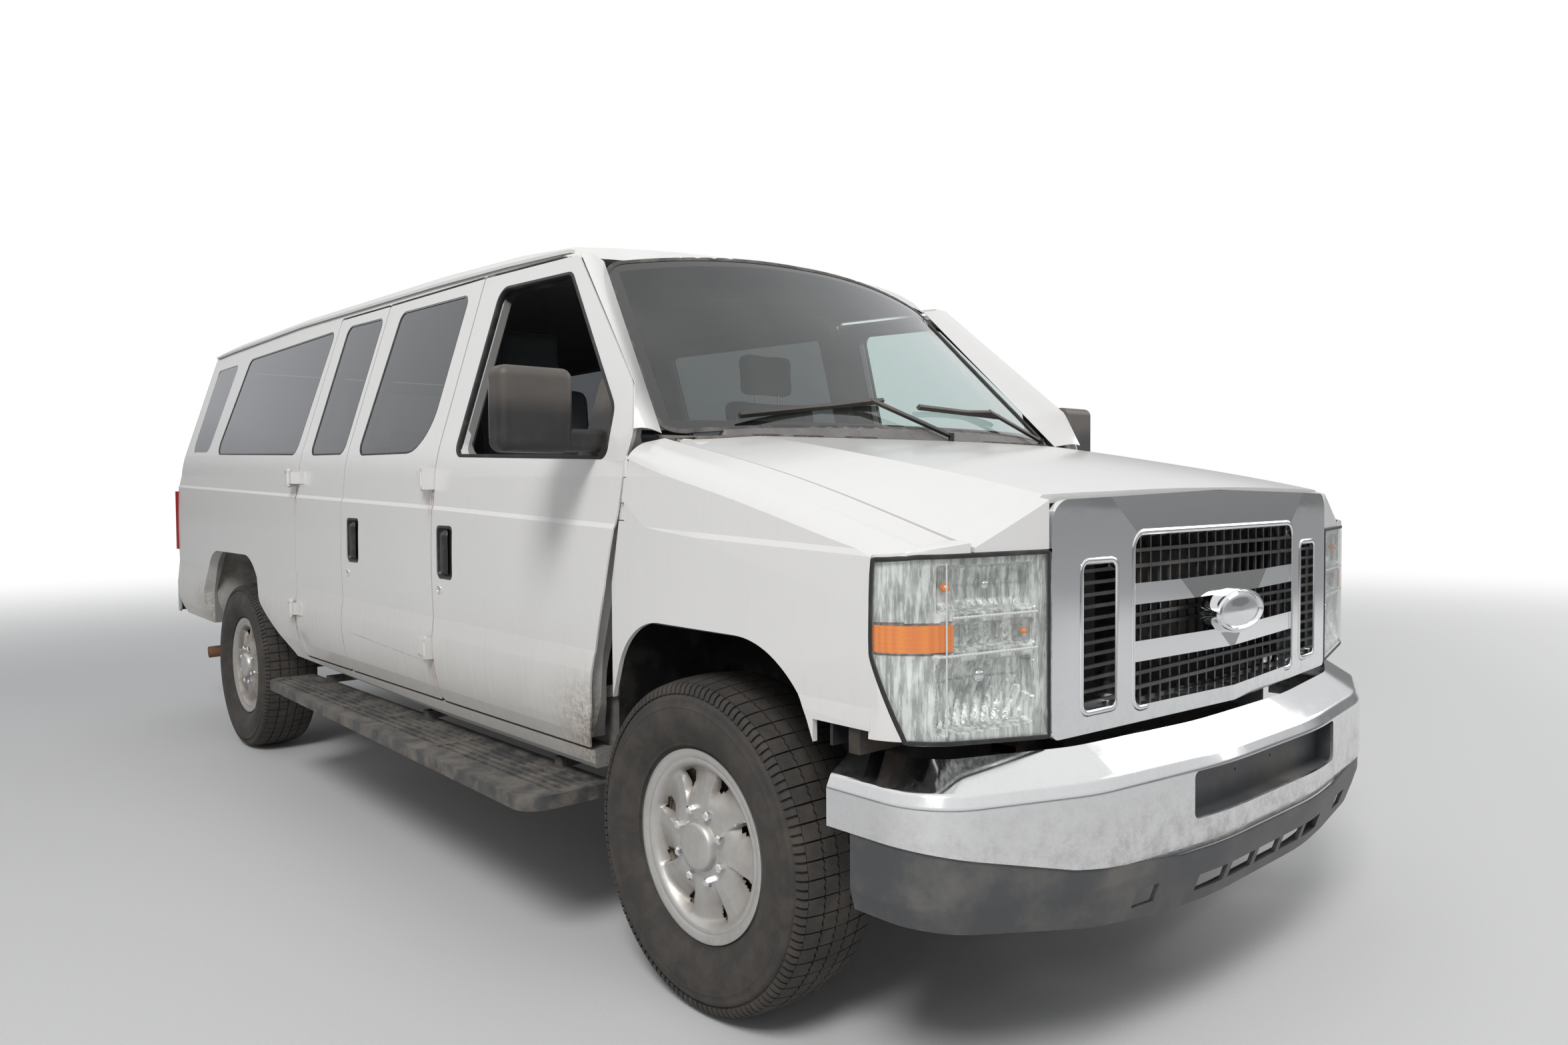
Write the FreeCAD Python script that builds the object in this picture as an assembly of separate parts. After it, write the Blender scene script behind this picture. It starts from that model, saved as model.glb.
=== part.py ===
"""Full-size passenger minibus: a body-on-frame van with a short nose and side cargo doors.

Millimetres, +Z up. The van faces -Y and its driver sits on the +X side. Stations along Y
are measured from the front axle, and every piece is moved to the common origin, below the
middle of the van on the ground, when it is written out.
"""
import FreeCAD, Part
import math
import os

V = FreeCAD.Vector

# Overall stations along the van, from the front axle
WHEELBASE = 3505.0
FRONT_END = -901.0            # foremost face of the front bumper
REAR_END = 4643.0             # rearmost face of the rear bumper
BODY_REAR = 4545.0            # outer face of the rear doors
NOSE_START = -650.0           # where the side sections begin
B_PILLAR = 1300.0             # seam between front door and front cargo door
LEAF_SEAM = 2078.0            # seam between the two cargo doors
D_SEAM = 2585.0               # rear edge of the rear cargo door

# Tail lamps: plan of the left one, outside the corner's round
TAIL_PLAN = ((872, 4520, 0), (872, 4560, 10), (912, 4560, 60), (992, 4520, 60),
             (1014, 4440, 12), (960, 4440, 0))
TAIL_Z = (900.0, 1205.0)

# Wheels and tyres
TYRE_R = 385.0
TYRE_HALF = 124.0             # half the section width
TREAD_HALF = 94.0
BEAD_R = 206.0
BEAD_HALF = 84.0
FLANGE_R = 221.0
FRONT_TRACK = 1736.0
REAR_TRACK = 1700.0
HUB_R = 60.0
SPINDLE_R = 20.0
BORE_GAP = 0.5                # running clearance on spindles and pins
LUGS = 8
LUG_CIRCLE_R = 82.5
LUG_CAP_R = 13.0
SPOKES = 8

# Panels and gaps
SKIN = 5.0                    # thickness of an outer skin at a shut line
WALL_LOW = 62.0               # wall and door thickness below the belt
WALL_HIGH = 45.0              # wall and door thickness above the belt
ROOF_T = 38.0
SHUT = 8.0                    # shut-line gap between a door skin and its neighbour
INSET = 22.0                  # how far a door's inner frame sits inside its skin
FENDER_T = 12.0
HOOD_T = 18.0
HOOD_GAP = 6.0
HOOD_LAP = 2.0                # the hood's front lies this far behind the nose's face
LAMP_TOP = 1075.0
GLASS_T = 5.0
GLASS_DEPTH = 3.0             # glass below the outer surface
FLOOR_Z = 690.0
FLOOR_T = 30.0
CAB_FRONT = 330.0             # inner face of the firewall
FIREWALL_T = 30.0
BELT_SHELF = 1345.0           # height of the fender's rear seam and the cowl shelf

# Windshield surface: straight along its slope, round across it
GLASS_FOOT = (110.0, 1352.0)
GLASS_HEAD = (665.0, 1925.0)
FOOT_BEND_R = 3300.0
HEAD_BEND_R = 2600.0

# Cowl, firewall and front wheelhouses
HOOD_REAR = -20.0             # the hood's rear edge on the middle line, before its round
COWL_T = 14.0
SHELF_Z = (1268.0, 1300.0)
COWL_GAP = 14.0               # between the hood's rear edge and the cowl panel
FIREWALL_HALF = 905.0
TUNNEL_HALF = 300.0
TUNNEL_TOP = 1080.0
TUNNEL_REAR = 920.0
HOUSE_X = 505.0               # inner face of a front wheelhouse
HOUSE_T = 8.0
HOUSE_FRONT = -470.0
HOUSE_REAR = 432.0
HOUSE_TOP = 888.0
REAR_HOUSE_X = 690.0
REAR_HOUSE_HALF = 440.0
REAR_HOUSE_TOP = 950.0

# Grille
GRILLE_DEPTH = 48.0
GRILLE_HALF = 385.0
GRILLE_BACK = -735.0          # face of the dark insert
GRILLE_CENTRE = ((-385, 738, 20), (385, 738, 20), (385, 1098, 30), (-385, 1098, 30))
GRILLE_SIDE = ((455, 750, 12), (558, 750, 12), (558, 1045, 12), (455, 1045, 12))
GRILLE_BARS = ((830, 874), (952, 997))
GRILLE_GAPS = ((738, 830), (874, 952), (997, 1098))
GRILLE_FINS = 18
LOUVRES = 12
BADGE_HALF = 118.0
BADGE_HIGH = 100.0
BADGE_Z = 912.0

# Headlamps; pockets are x, x, z, z and depth behind the nose's face
LENS_T = 5.0
LAMP_POCKETS = (
    (675, 940, 966, 1060, 42),
    (675, 985, 898, 950, 34),
    (675, 948, 740, 884, 42),
)

# Bumpers and valance. Paths: x, y, corner radius. Profiles: outward, height, radius.
BUMPER_PATH = (
    (988, -450, 0), (988, -705, 170), (640, -846, 420), (230, FRONT_END, 1200),
    (-230, FRONT_END, 1200), (-640, -846, 420), (-988, -705, 170), (-988, -450, 0),
)
BUMPER_WALL = 7.0
BUMPER_PROFILE = (
    (-86, 690, 0), (-12, 642, 16), (0, 618, 20), (0, 474, 16), (-14, 446, 8),
    (-60, 446, 0), (-60, 453, 0), (-18, 453, 3), (-7, 476, 10), (-7, 614, 14),
    (-18, 636, 10), (-86, 682, 0),
)
BUMPER_FOOT = ((-1300, 600), (-1000, 545), (-700, 480), (-380, 446), (380, 446),
               (700, 480), (1000, 545), (1300, 600))
LICENCE_HALF = 355.0
LICENCE_Z = (516.0, 615.0)
VALANCE_PATH = (
    (984, -510, 0), (984, -702, 168), (638, -842, 420), (230, FRONT_END + 4, 1200),
    (-230, FRONT_END + 4, 1200), (-638, -842, 420), (-984, -702, 168), (-984, -510, 0),
)
VALANCE_PROFILE = (
    (0, 600, 0), (0, 432, 20), (-12, 392, 20), (-36, 322, 0), (-70, 322, 0), (-70, 330, 0),
    (-42, 330, 0), (-20, 396, 20), (-8, 434, 20), (-8, 600, 0),
)
VALANCE_FOOT = ((-1300, 430), (-990, 392), (-660, 352), (-400, 322), (400, 322),
                (660, 352), (990, 392), (1300, 430))
VENT_PITCH = 128.0
VENT_HALF = 54.0
VENT_Z = (350.0, 388.0)
PLATE_PITCH = 178.0           # hole to hole of a registration plate
PLATE_HOLE_R = 3.5
REAR_BUMPER_HALF = 975.0
REAR_BUMPER_FRONT = 4558.0
REAR_BUMPER_Z = (558.0, 722.0)
REAR_BUMPER_T = 8.0

# Frame and axles; crossbars are y, lower z and upper z
CROSSBARS = ((-700, 465, 525), (1400, 440, 480), (2300, 560, 600), (4200, 465, 525))
RAIL_X = 430.0
RAIL_HALF = 35.0
RAIL_Z = (465.0, 600.0)
LIFT_Y = 1050.0               # middle of the plate below a rail for a lift's pad
LIFT_T = 8.0
AXLE_Z = TYRE_R
KINGPIN_X = 815.0
KINGPIN_R = 14.0
EYE_R = 26.0
BEAM_Z = (338.0, 412.0)
BEAM_HALF = 23.0
BEAM_Y = 36.0
EAR_T = 28.0
TUBE_R = 48.0
DIFF_R = 125.0
DIFF_HALF = 135.0
SHAFT_R = 38.0
SPRING_X = 505.0
SPRING_HALF = 32.0
SPRING_T = 36.0
BOARD_Z = (404.0, 440.0)
BOARD_FRONT = 424.0
RIB = 4.0

# Door hinges: axis x and y, pin and knuckle radii, and the knuckles' z spans. The cargo
# doors' rows add the x of the body's surface at that height.
FRONT_HINGE = (980.0, 241.0)
FRONT_PIN_R = 3.0
FRONT_KNUCKLE_R = 7.0
FRONT_HINGE_Z = ((1128.0, 1168.0), (1232.0, 1272.0))
PIN_R = 5.0
KNUCKLE_R = 9.0
HINGE_PLAY = 0.4
EAR_H = 9.0
CARGO_HINGE = (1022.0, 1316.0)
CARGO_HINGE_ROWS = ((672.0, 740.0, 1008.0), (1205.0, 1273.0, 989.0))
D_HINGE = (1022.0, 2585.0)
D_HINGE_ROWS = ((698.0, 766.0, 1008.0), (1222.0, 1290.0, 986.0))
REAR_HINGE = (794.0, 4557.0)
REAR_HINGE_Z = ((842.0, 910.0), (1222.0, 1290.0))
HOOD_HINGE = (214.0, 1320.0)
HOOD_HINGE_X = (806.0, 834.0)
HOOD_EYE_R = 7.0
HOOD_PIN_R = 4.0

# B pillar, behind the shut line of the front doors
# Seats; benches are front edge y, then the two ends
SEAT_X = 565.0
BENCHES = ((2000, -300, 860), (2800, -300, 660), (3640, -650, 650))
POST_HALF = 38.0
POST_CLEAR = 8.0
POST_DEPTH = 42.0
SILL_TOP = 531.0


def edges_of(rows, closed=True):
    """Lines and corner arcs through rows of (u, v, corner radius), in the plane w = 0."""
    points = [V(row[0], row[1], 0) for row in rows]
    count = len(rows)
    corners = []
    for i, row in enumerate(rows):
        here = points[i]
        radius = row[2]
        ends = not closed and i in (0, count - 1)
        if radius <= 0 or ends:
            corners.append((here, None, here))
            continue
        back = (points[i - 1] - here).normalize()
        ahead = (points[(i + 1) % count] - here).normalize()
        half = back.getAngle(ahead) / 2
        reach = radius / math.tan(half)
        centre = here + (back + ahead).normalize() * (radius / math.sin(half))
        middle = centre + (here - centre).normalize() * radius
        corners.append((here + back * reach, middle, here + ahead * reach))
    edges = []
    spans = count if closed else count - 1
    for i, (start, middle, end) in enumerate(corners):
        if middle is not None:
            edges.append(Part.Arc(start, middle, end).toShape())
        if i < spans:
            following = corners[(i + 1) % count][0]
            if (following - end).Length > 1e-4:
                edges.append(Part.LineSegment(end, following).toShape())
    return edges


PLANES = {
    "XY": FreeCAD.Matrix(1, 0, 0, 0, 0, 1, 0, 0, 0, 0, 1, 0, 0, 0, 0, 1),
    "YZ": FreeCAD.Matrix(0, 0, 1, 0, 1, 0, 0, 0, 0, 1, 0, 0, 0, 0, 0, 1),
    "XZ": FreeCAD.Matrix(1, 0, 0, 0, 0, 0, -1, 0, 0, 1, 0, 0, 0, 0, 0, 1),
}
NORMALS = {"XY": V(0, 0, 1), "YZ": V(1, 0, 0), "XZ": V(0, 1, 0)}


def flat_wire(plane, rows, level, closed=True):
    """A wire of rows (u, v, corner radius) laid in a plane at a level along its normal."""
    wire = Part.Wire(Part.__sortEdges__(edges_of(rows, closed)))
    wire = wire.transformed(PLANES[plane])
    wire.translate(NORMALS[plane] * level)
    return wire


def prism(plane, rows, low, high):
    """A solid with the outline of rows (u, v, corner radius) between two levels."""
    face = Part.Face(flat_wire(plane, rows, low))
    return face.extrude(NORMALS[plane] * (high - low))


def box(x0, x1, y0, y1, z0, z1):
    return Part.makeBox(x1 - x0, y1 - y0, z1 - z0, V(x0, y0, z0))


def rod(start, end, radius):
    axis = end - start
    return Part.makeCylinder(radius, axis.Length, start, axis)


def mirrored(shape):
    return shape.mirror(V(0, 0, 0), V(1, 0, 0))


def both(shape):
    return [shape, mirrored(shape)]


def fuse(shapes):
    shapes = list(shapes)
    if len(shapes) == 1:
        return shapes[0]
    return shapes[0].multiFuse(shapes[1:]).removeSplitter()


def common(first, *others):
    for other in others:
        first = first.common(other)
    return first


def arc(a, b, c):
    return Part.Arc(a, b, c).toShape()


def line(a, b):
    return Part.LineSegment(a, b).toShape()


def loft(wires, ruled=True):
    """A closed solid through sections, facing outward whichever way they run."""
    solid = Part.makeLoft(wires, True, ruled)
    if solid.Volume < 0:
        solid.reverse()
    return solid


def revolve_x(rows, degrees=360):
    """A solid of revolution about the X axis from rows of (x, r, corner radius)."""
    face = Part.Face(flat_wire("XY", rows, 0))
    return face.revolve(V(0, 0, 0), V(1, 0, 0), degrees)


def sweep(path_rows, height, profile_rows):
    """A level sweep: path rows are (x, y, radius), profile rows (outward, up, radius)."""
    path = flat_wire("XY", path_rows, height, closed=False)
    start = V(path_rows[0][0], path_rows[0][1], height)
    following = V(path_rows[1][0], path_rows[1][1], height)
    ahead = (following - start).normalize()
    outward = V(0, 0, 1).cross(ahead)
    profile = Part.Wire(Part.__sortEdges__(edges_of(profile_rows)))
    turn = FreeCAD.Matrix(outward.x, 0, ahead.x, start.x,
                          outward.y, 0, ahead.y, start.y,
                          0, 1, 0, start.z,
                          0, 0, 0, 1)
    profile = profile.transformed(turn)
    return path.makePipeShell([profile], True, False)


# The body's side: one row per corner of the section, at the nose, the B pillar and the rear.
# Columns: how the row is reached, then x and z at each of the three stations. "via" rows
# are the middle points of arcs.
SIDE_STATIONS = (NOSE_START, B_PILLAR, BODY_REAR)
SIDE = (
    ("start", 775, 1985, 775, 1985, 768, 1985),
    ("line", 968, 1322, 970, 1346, 960, 1392),
    ("via", 980, 1272, 982, 1296, 972, 1342),
    ("arc", 988, 1222, 989, 1246, 979, 1292),
    ("line", 996, 1085, 996, 1155, 990, 1242),
    ("line", 1001, 1073, 1001, 1143, 995, 1230),
    ("via", 1006, 930, 1006, 980, 1001, 1030),
    ("arc", 1001, 793, 1001, 803, 998, 842),
    ("line", 1008, 742, 1008, 747, 1009, 735),
    ("via", 1005, 660, 1005, 665, 1006, 668),
    ("arc", 989, 570, 989, 580, 992, 615),
    ("line", 956, 478, 956, 485, 966, 562),
)

# The rear corners: how far a station lies ahead of the rear face and how far the side
# has drawn in there, which follows a round corner of 110 mm.
REAR_CORNER = ((110, 0), (72, 7), (38, 27), (12, 60), (0, 104))

# The roof: station, height of the drip rail, height of the crown.
ROOF = (
    (520, 1862, 1885),
    (820, 1883, 1962),
    (1150, 1899, 2012),
    (1700, 1914, 2042),
    (3100, 1934, 2060),
    (4150, 1922, 2050),
    (4435, 1915, 2032),
    (4507, 1912, 2010),
    (4545, 1910, 1975),
)


# How much of the crown's rise is reached 78 mm and 24 mm in from the drip rail
ROOF_SHARES = (0.42, 0.26)
LINING_SHARES = (0.60, 0.40)
GUTTER = (760.0, 4420.0)      # the drip rail's two ends
GUTTER_OUT = 9.0
GUTTER_H = 10.0


def side_rows(y, thickness_low, thickness_high):
    """The side's half section at a station, drawn in by the wall's thickness."""
    low, mid, high = SIDE_STATIONS
    rows = []
    for index, (kind, xa, za, xb, zb, xc, zc) in enumerate(SIDE):
        if y <= mid:
            share = (y - low) / (mid - low)
            x, z = xa + (xb - xa) * share, za + (zb - za) * share
        else:
            share = (y - mid) / (high - mid)
            x, z = xb + (xc - xb) * share, zb + (zc - zb) * share
        inward = thickness_high if index < 2 else thickness_low
        rows.append((kind, x - inward, z))
    return rows


def drawn_in(y):
    """How far the rear corner draws the side in at a station."""
    ahead = BODY_REAR - y
    for (far, small), (near, large) in zip(REAR_CORNER, REAR_CORNER[1:]):
        if near <= ahead <= far:
            return small + (large - small) * (far - ahead) / (far - near)
    return 0.0


def side_wire(y, low, high):
    """The left half of the section, closed along the middle plane."""
    pull = drawn_in(y)
    rows = side_rows(y, low, high)
    points = [V(x - pull, y, z) for kind, x, z in rows]
    kinds = [kind for kind, x, z in rows]
    edges = []
    for i in range(1, len(points)):
        if kinds[i] == "line":
            edges.append(line(points[i - 1], points[i]))
        elif kinds[i] == "arc":
            edges.append(arc(points[i - 2], points[i - 1], points[i]))
    top, bottom = V(0, y, points[0].z), V(0, y, points[-1].z)
    edges += [line(top, points[0]), line(points[-1], bottom), line(bottom, top)]
    return Part.Wire(Part.__sortEdges__(edges))


def side_hull(low=0.0, high=0.0, front=NOSE_START, rear=BODY_REAR):
    """The left half of the body below the roof, drawn in by a wall's thickness."""
    stations = [front]
    stations += [y for y in [B_PILLAR] if front < y < rear]
    stations += [BODY_REAR - ahead for ahead, pull in REAR_CORNER if front < BODY_REAR - ahead < rear]
    stations.append(rear)
    return loft([side_wire(y, low, high) for y in stations])


def rail_x(y, z, inward=0.0):
    """Half width of the body at the drip rail."""
    rows = side_rows(y, 0, 0)
    (_, x0, z0), (_, x1, z1) = rows[0], rows[1]
    return x0 + (x1 - x0) * (z0 - z) / (z0 - z1) - drawn_in(y) - inward


def roof_wire(y, rail, crown, inward, down):
    """Roof section: a short wall, a round shoulder and one wide arc over the top."""
    x = rail_x(y, rail, inward)
    rise = crown - rail
    high, low = LINING_SHARES if down else ROOF_SHARES
    shoulder = V(x - 78, y, rail + rise * high - down)
    bend = V(x - 24, y, rail + rise * low - down * 0.7)
    top = V(0, y, crown - down)
    foot = V(x, y, rail)
    flip = [V(-p.x, y, p.z) for p in (foot, bend, shoulder)]
    edges = [
        arc(foot, bend, shoulder),
        arc(shoulder, top, flip[2]),
        arc(flip[2], flip[1], flip[0]),
        line(flip[0], foot),
    ]
    return Part.Wire(Part.__sortEdges__(edges))


def roof_solid(inward=0.0, down=0.0, rear=BODY_REAR):
    wires = [roof_wire(y, rail, crown, inward, down) for y, rail, crown in ROOF if y < rear]
    last = [row for row in ROOF if row[0] >= rear]
    if last:
        y, rail, crown = last[0]
        wires.append(roof_wire(rear, rail, crown, inward, down))
    return loft(wires)


def gutter():
    """The left drip rail: a narrow ledge along the roof's lower edge."""
    stations = [GUTTER[0]] + [row[0] for row in ROOF if GUTTER[0] < row[0] < GUTTER[1]]
    stations.append(GUTTER[1])
    wires = []
    for y in stations:
        for (y0, low, _), (y1, high, _) in zip(ROOF, ROOF[1:]):
            if y0 <= y <= y1:
                rail = low + (high - low) * (y - y0) / (y1 - y0)
        x = rail_x(y, rail)
        corners = [V(x - 6, y, rail), V(x + GUTTER_OUT, y, rail),
                   V(x + GUTTER_OUT, y, rail + GUTTER_H), V(x - 6, y, rail + GUTTER_H)]
        wires.append(Part.makePolygon(corners + corners[:1]))
    return loft(wires)


def above_rail():
    """Everything above the drip rail's line."""
    rows = [(y, rail, 0) for y, rail, crown in ROOF]
    rows = [(-900, rows[0][1], 0)] + rows + [(5200, rows[-1][1], 0)]
    rows += [(5200, 2600, 0), (-900, 2600, 0)]
    return prism("YZ", rows, -1300, 1300)


# Windshield frame: S runs up the slope, D goes into the cab
SLOPE = V(0, GLASS_HEAD[0] - GLASS_FOOT[0], GLASS_HEAD[1] - GLASS_FOOT[1])
SLOPE_LENGTH = SLOPE.Length
SLOPE.normalize()
INTO = V(0, SLOPE.z, -SLOPE.y)
FOOT = V(0, GLASS_FOOT[0], GLASS_FOOT[1])


def on_glass(x, s, d=0.0):
    """A point across, up and below the windshield's middle line."""
    return FOOT + V(x, 0, 0) + SLOPE * s + INTO * d


def glass_arc(s, depth, half=1250.0):
    radius = FOOT_BEND_R + (HEAD_BEND_R - FOOT_BEND_R) * s / SLOPE_LENGTH
    fall = radius - math.sqrt(radius * radius - half * half)
    left, right = on_glass(-half, s, depth + fall), on_glass(half, s, depth + fall)
    return left, on_glass(0, s, depth), right


def before_glass(depth=0.0):
    """Everything ahead of the windshield's surface, or of one that lies deeper."""
    wires = []
    for s in (-450.0, 1500.0):
        left, middle, right = glass_arc(s, depth)
        far_left, far_right = on_glass(-1250, s, -2500), on_glass(1250, s, -2500)
        edges = [arc(left, middle, right), line(right, far_right),
                 line(far_right, far_left), line(far_left, left)]
        wires.append(Part.Wire(Part.__sortEdges__(edges)))
    return loft(wires)


def glass_prism(grow=0.0):
    """The windshield's outline, as a prism across its surface."""
    rows = ((-848 - grow, 112 - grow, 60), (0, -8 - grow, 3800), (848 + grow, 112 - grow, 60),
            (702 + grow, 815 + grow, 70), (0, 800 + grow, 0), (-702 - grow, 815 + grow, 70))
    edges = edges_of(rows)
    wire = Part.Wire(Part.__sortEdges__(edges))
    turn = FreeCAD.Matrix(1, SLOPE.x, INTO.x, FOOT.x,
                          0, SLOPE.y, INTO.y, FOOT.y,
                          0, SLOPE.z, INTO.z, FOOT.z,
                          0, 0, 0, 1)
    wire = wire.transformed(turn)
    wire.translate(INTO * -300)
    return Part.Face(wire).extrude(INTO * 700)


# The nose: station, then (x, z) of the crown, the hood's crease, the hood seam, the
# shoulder's flat end, the middle of its round and its foot on the side.
NOSE = (
    (300, (0, 1356), (640, 1353), (874, 1344), (925, 1335), (966, 1314), (989, 1262)),
    (0, (0, 1328), (640, 1316), (868, 1280), (930, 1264), (974, 1238), (1000, 1185)),
    (-330, (0, 1280), (645, 1262), (862, 1200), (930, 1183), (978, 1160), (1004, 1112)),
    (-620, (0, 1226), (650, 1208), (855, 1112), (925, 1100), (977, 1087), (1006, 1062)),
    (-860, (0, 1165), (650, 1150), (848, 1046), (925, 1040), (977, 1030), (1007, 1012)),
)


def nose_solid(drop=0.0, inward=0.0):
    """Everything below the hood's and the fenders' upper surface."""
    wires = []
    for y, crown, crease, seam, flat, bend, foot in NOSE:
        side = [V(x - (inward if x > 900 else 0), y, z - drop)
                for x, z in (crease, seam, flat, bend, foot)]
        base = V(side[-1].x, y, 380)
        flip = [V(-p.x, y, p.z) for p in side]
        edges = [arc(flip[0], V(0, y, crown[1] - drop), side[0])]
        for s in (side, flip):
            edges += [line(s[0], s[1]), line(s[1], s[2]), arc(s[2], s[3], s[4])]
        edges += [line(side[-1], base), line(flip[-1], V(-base.x, y, 380)),
                  line(base, V(-base.x, y, 380))]
        wires.append(Part.Wire(Part.__sortEdges__(edges)))
    return loft(wires, ruled=False)


# Plan of the nose's front face: x, y, corner radius
FACE = ((1009, -674, 140), (652, -744, 900), (0, -798, 0), (-652, -744, 900),
        (-1009, -674, 140))


def face_prism(back=0.0, z0=300.0, z1=1500.0):
    """Everything behind the nose's front face, or behind one set further back."""
    rows = [(x - math.copysign(back, x) * 0.9 if abs(x) > 900 else x, y + back, r)
            for x, y, r in FACE]
    ends = [(rows[-1][0], 600, 0), (rows[0][0], 600, 0)]
    return prism("XY", rows + ends, z0, z1)


# Door, window and arch outlines, as rows of y, z, corner radius
FRONT_DOOR = (
    (425, 535, 10), (378, 640, 60), (362, 780, 90), (310, 945, 200), (250, 1190, 200),
    (234, 1345, 120), (278, 1465, 160), (722, 1872, 40), (B_PILLAR, 1890, 12),
    (B_PILLAR, 535, 25),
)
FRONT_WINDOW = (
    (335, 1285, 18), (348, 1408, 60), (738, 1814, 45), (1160, 1828, 40), (1172, 1312, 35),
)
CARGO_FRONT = (
    (B_PILLAR, 535, 12), (B_PILLAR, 1890, 12), (LEAF_SEAM, 1900, 12), (LEAF_SEAM, 535, 12),
)
CARGO_REAR = (
    (LEAF_SEAM, 535, 12), (LEAF_SEAM, 1900, 12), (D_SEAM, 1908, 12), (D_SEAM, 535, 25),
)
WINDOWS = (
    ("cargo_front", ((1398, 1326, 150), (1390, 1842, 35), (1942, 1852, 35), (1978, 1332, 45))),
    ("cargo_rear", ((2122, 1340, 40), (2114, 1854, 35), (2476, 1862, 35), (2482, 1346, 40))),
    ("quarter", ((2662, 1352, 45), (2628, 1862, 40), (3778, 1850, 40), (3852, 1386, 60))),
    ("rear", ((4012, 1400, 40), (3968, 1846, 35), (4330, 1842, 35), (4326, 1408, 40))),
    ("long_left", ((1400, 1326, 60), (1390, 1842, 35), (2476, 1862, 35), (2482, 1346, 40))),
)
OUTLINE = dict(WINDOWS)
FRONT_ARCH = (
    (-492, 250, 0), (-492, 560, 60), (-352, 892, 250), (225, 892, 190), (300, 690, 200),
    (392, 470, 0), (392, 250, 0),
)
# The rear arch runs down ahead into the sill; stations from the rear axle
REAR_ARCH = (
    (-800, 515, 60), (-452, 725, 120), (-335, 918, 200), (335, 918, 200), (440, 700, 90),
    (430, 250, 0), (-800, 250, 0),
)
REAR_DOOR_X = 790.0
REAR_DOOR_Z = (735.0, 1862.0)


def grown_prism(plane, rows, by, low, high):
    wire = Part.Wire(Part.__sortEdges__(edges_of(rows)))
    if by:
        wire = wire.makeOffset2D(by)
    wire = wire.transformed(PLANES[plane])
    wire.translate(NORMALS[plane] * low)
    return Part.Face(wire).extrude(NORMALS[plane] * (high - low))


FRONT_HANDLE = (1153.0, 1265.0, 928.0, 1094.0)      # y, y, z, z of the recess
CARGO_HANDLE = (1907.0, 2022.0, 945.0, 1105.0)
RECESS = 15.0
LEFT = (500.0, 1200.0)
ALL_X = (-1200.0, 1200.0)
GLASS_BED = 42.0              # depth of the frame behind the windshield


class Layers:
    """The left half of the body's wall, as layers over one run of stations."""

    def __init__(self, front, rear, cutters):
        def hull(low, high):
            return side_hull(low, high, front, rear)

        self.outer = self.trimmed(hull(0, 0), cutters)
        self.inside = hull(WALL_LOW, WALL_HIGH)
        under_skin = hull(SKIN, SKIN)
        self.skin = self.outer.cut(under_skin)
        self.core = self.trimmed(under_skin, cutters).cut(self.inside)
        self.wall = self.outer.cut(self.inside)
        slab = hull(GLASS_DEPTH, GLASS_DEPTH).cut(hull(GLASS_DEPTH + GLASS_T,
                                                       GLASS_DEPTH + GLASS_T))
        self.glass = self.trimmed(slab, cutters)

    def trimmed(self, shape, cutters):
        for cutter in cutters:
            shape = shape.cut(cutter)
        return shape

    def door(self, rows):
        """A door as thick as the wall: a skin, and a frame set in from its edge."""
        skin = self.skin.common(grown_prism("YZ", rows, -SHUT / 2, *LEFT))
        core = self.core.common(grown_prism("YZ", rows, -SHUT / 2 - INSET, *LEFT))
        return fuse([skin, core])

    def pane(self, rows):
        return self.glass.common(prism("YZ", rows, *LEFT))


def lean_cut():
    """The upper rear face leans forward; this is what lies behind it."""
    return prism("YZ", ((4700, 1320, 0), (4700, 2200, 0), (4497, 2200, 0),
                        (BODY_REAR, 1320, 0)), -1200, 1200)


def rear_arch():
    return prism("YZ", [(y + WHEELBASE, z, r) for y, z, r in REAR_ARCH], *ALL_X)


def b_pillar():
    """The left post behind the front door's rear edge, with its head and foot."""
    y0, y1 = B_PILLAR - POST_HALF, B_PILLAR + POST_HALF
    above = above_rail()

    def hull(depth):
        return side_hull(WALL_LOW + depth, WALL_HIGH + depth, y0, y1)

    inner = hull(POST_CLEAR + POST_DEPTH)
    post = hull(POST_CLEAR).cut(inner).cut(above)
    post = post.common(box(500, 1300, y0, y1, SILL_TOP - 9, 2300))
    foot = hull(0).cut(inner).common(box(500, 1300, y0, y1, SILL_TOP - 9, SILL_TOP))
    head = side_hull(10, 10, y0, y1).cut(inner).cut(above)
    head = head.common(box(500, 1300, y0, y1, 1882, 2300))
    wall_side = hull(0).cut(inner).cut(above)
    wall_side = wall_side.common(box(500, 1300, B_PILLAR + 6, y1, SILL_TOP - 9, 2300))
    return fuse([post, foot, head]), wall_side


def knuckle(x, y, z0, z1, arm):
    """A ring about a hinge pin, on the arm that carries it."""
    ring = Part.makeCylinder(KNUCKLE_R, z1 - z0, V(x, y, z0))
    return fuse([ring, arm]).cut(Part.makeCylinder(PIN_R + HINGE_PLAY, 500, V(x, y, z0 - 200)))


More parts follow.
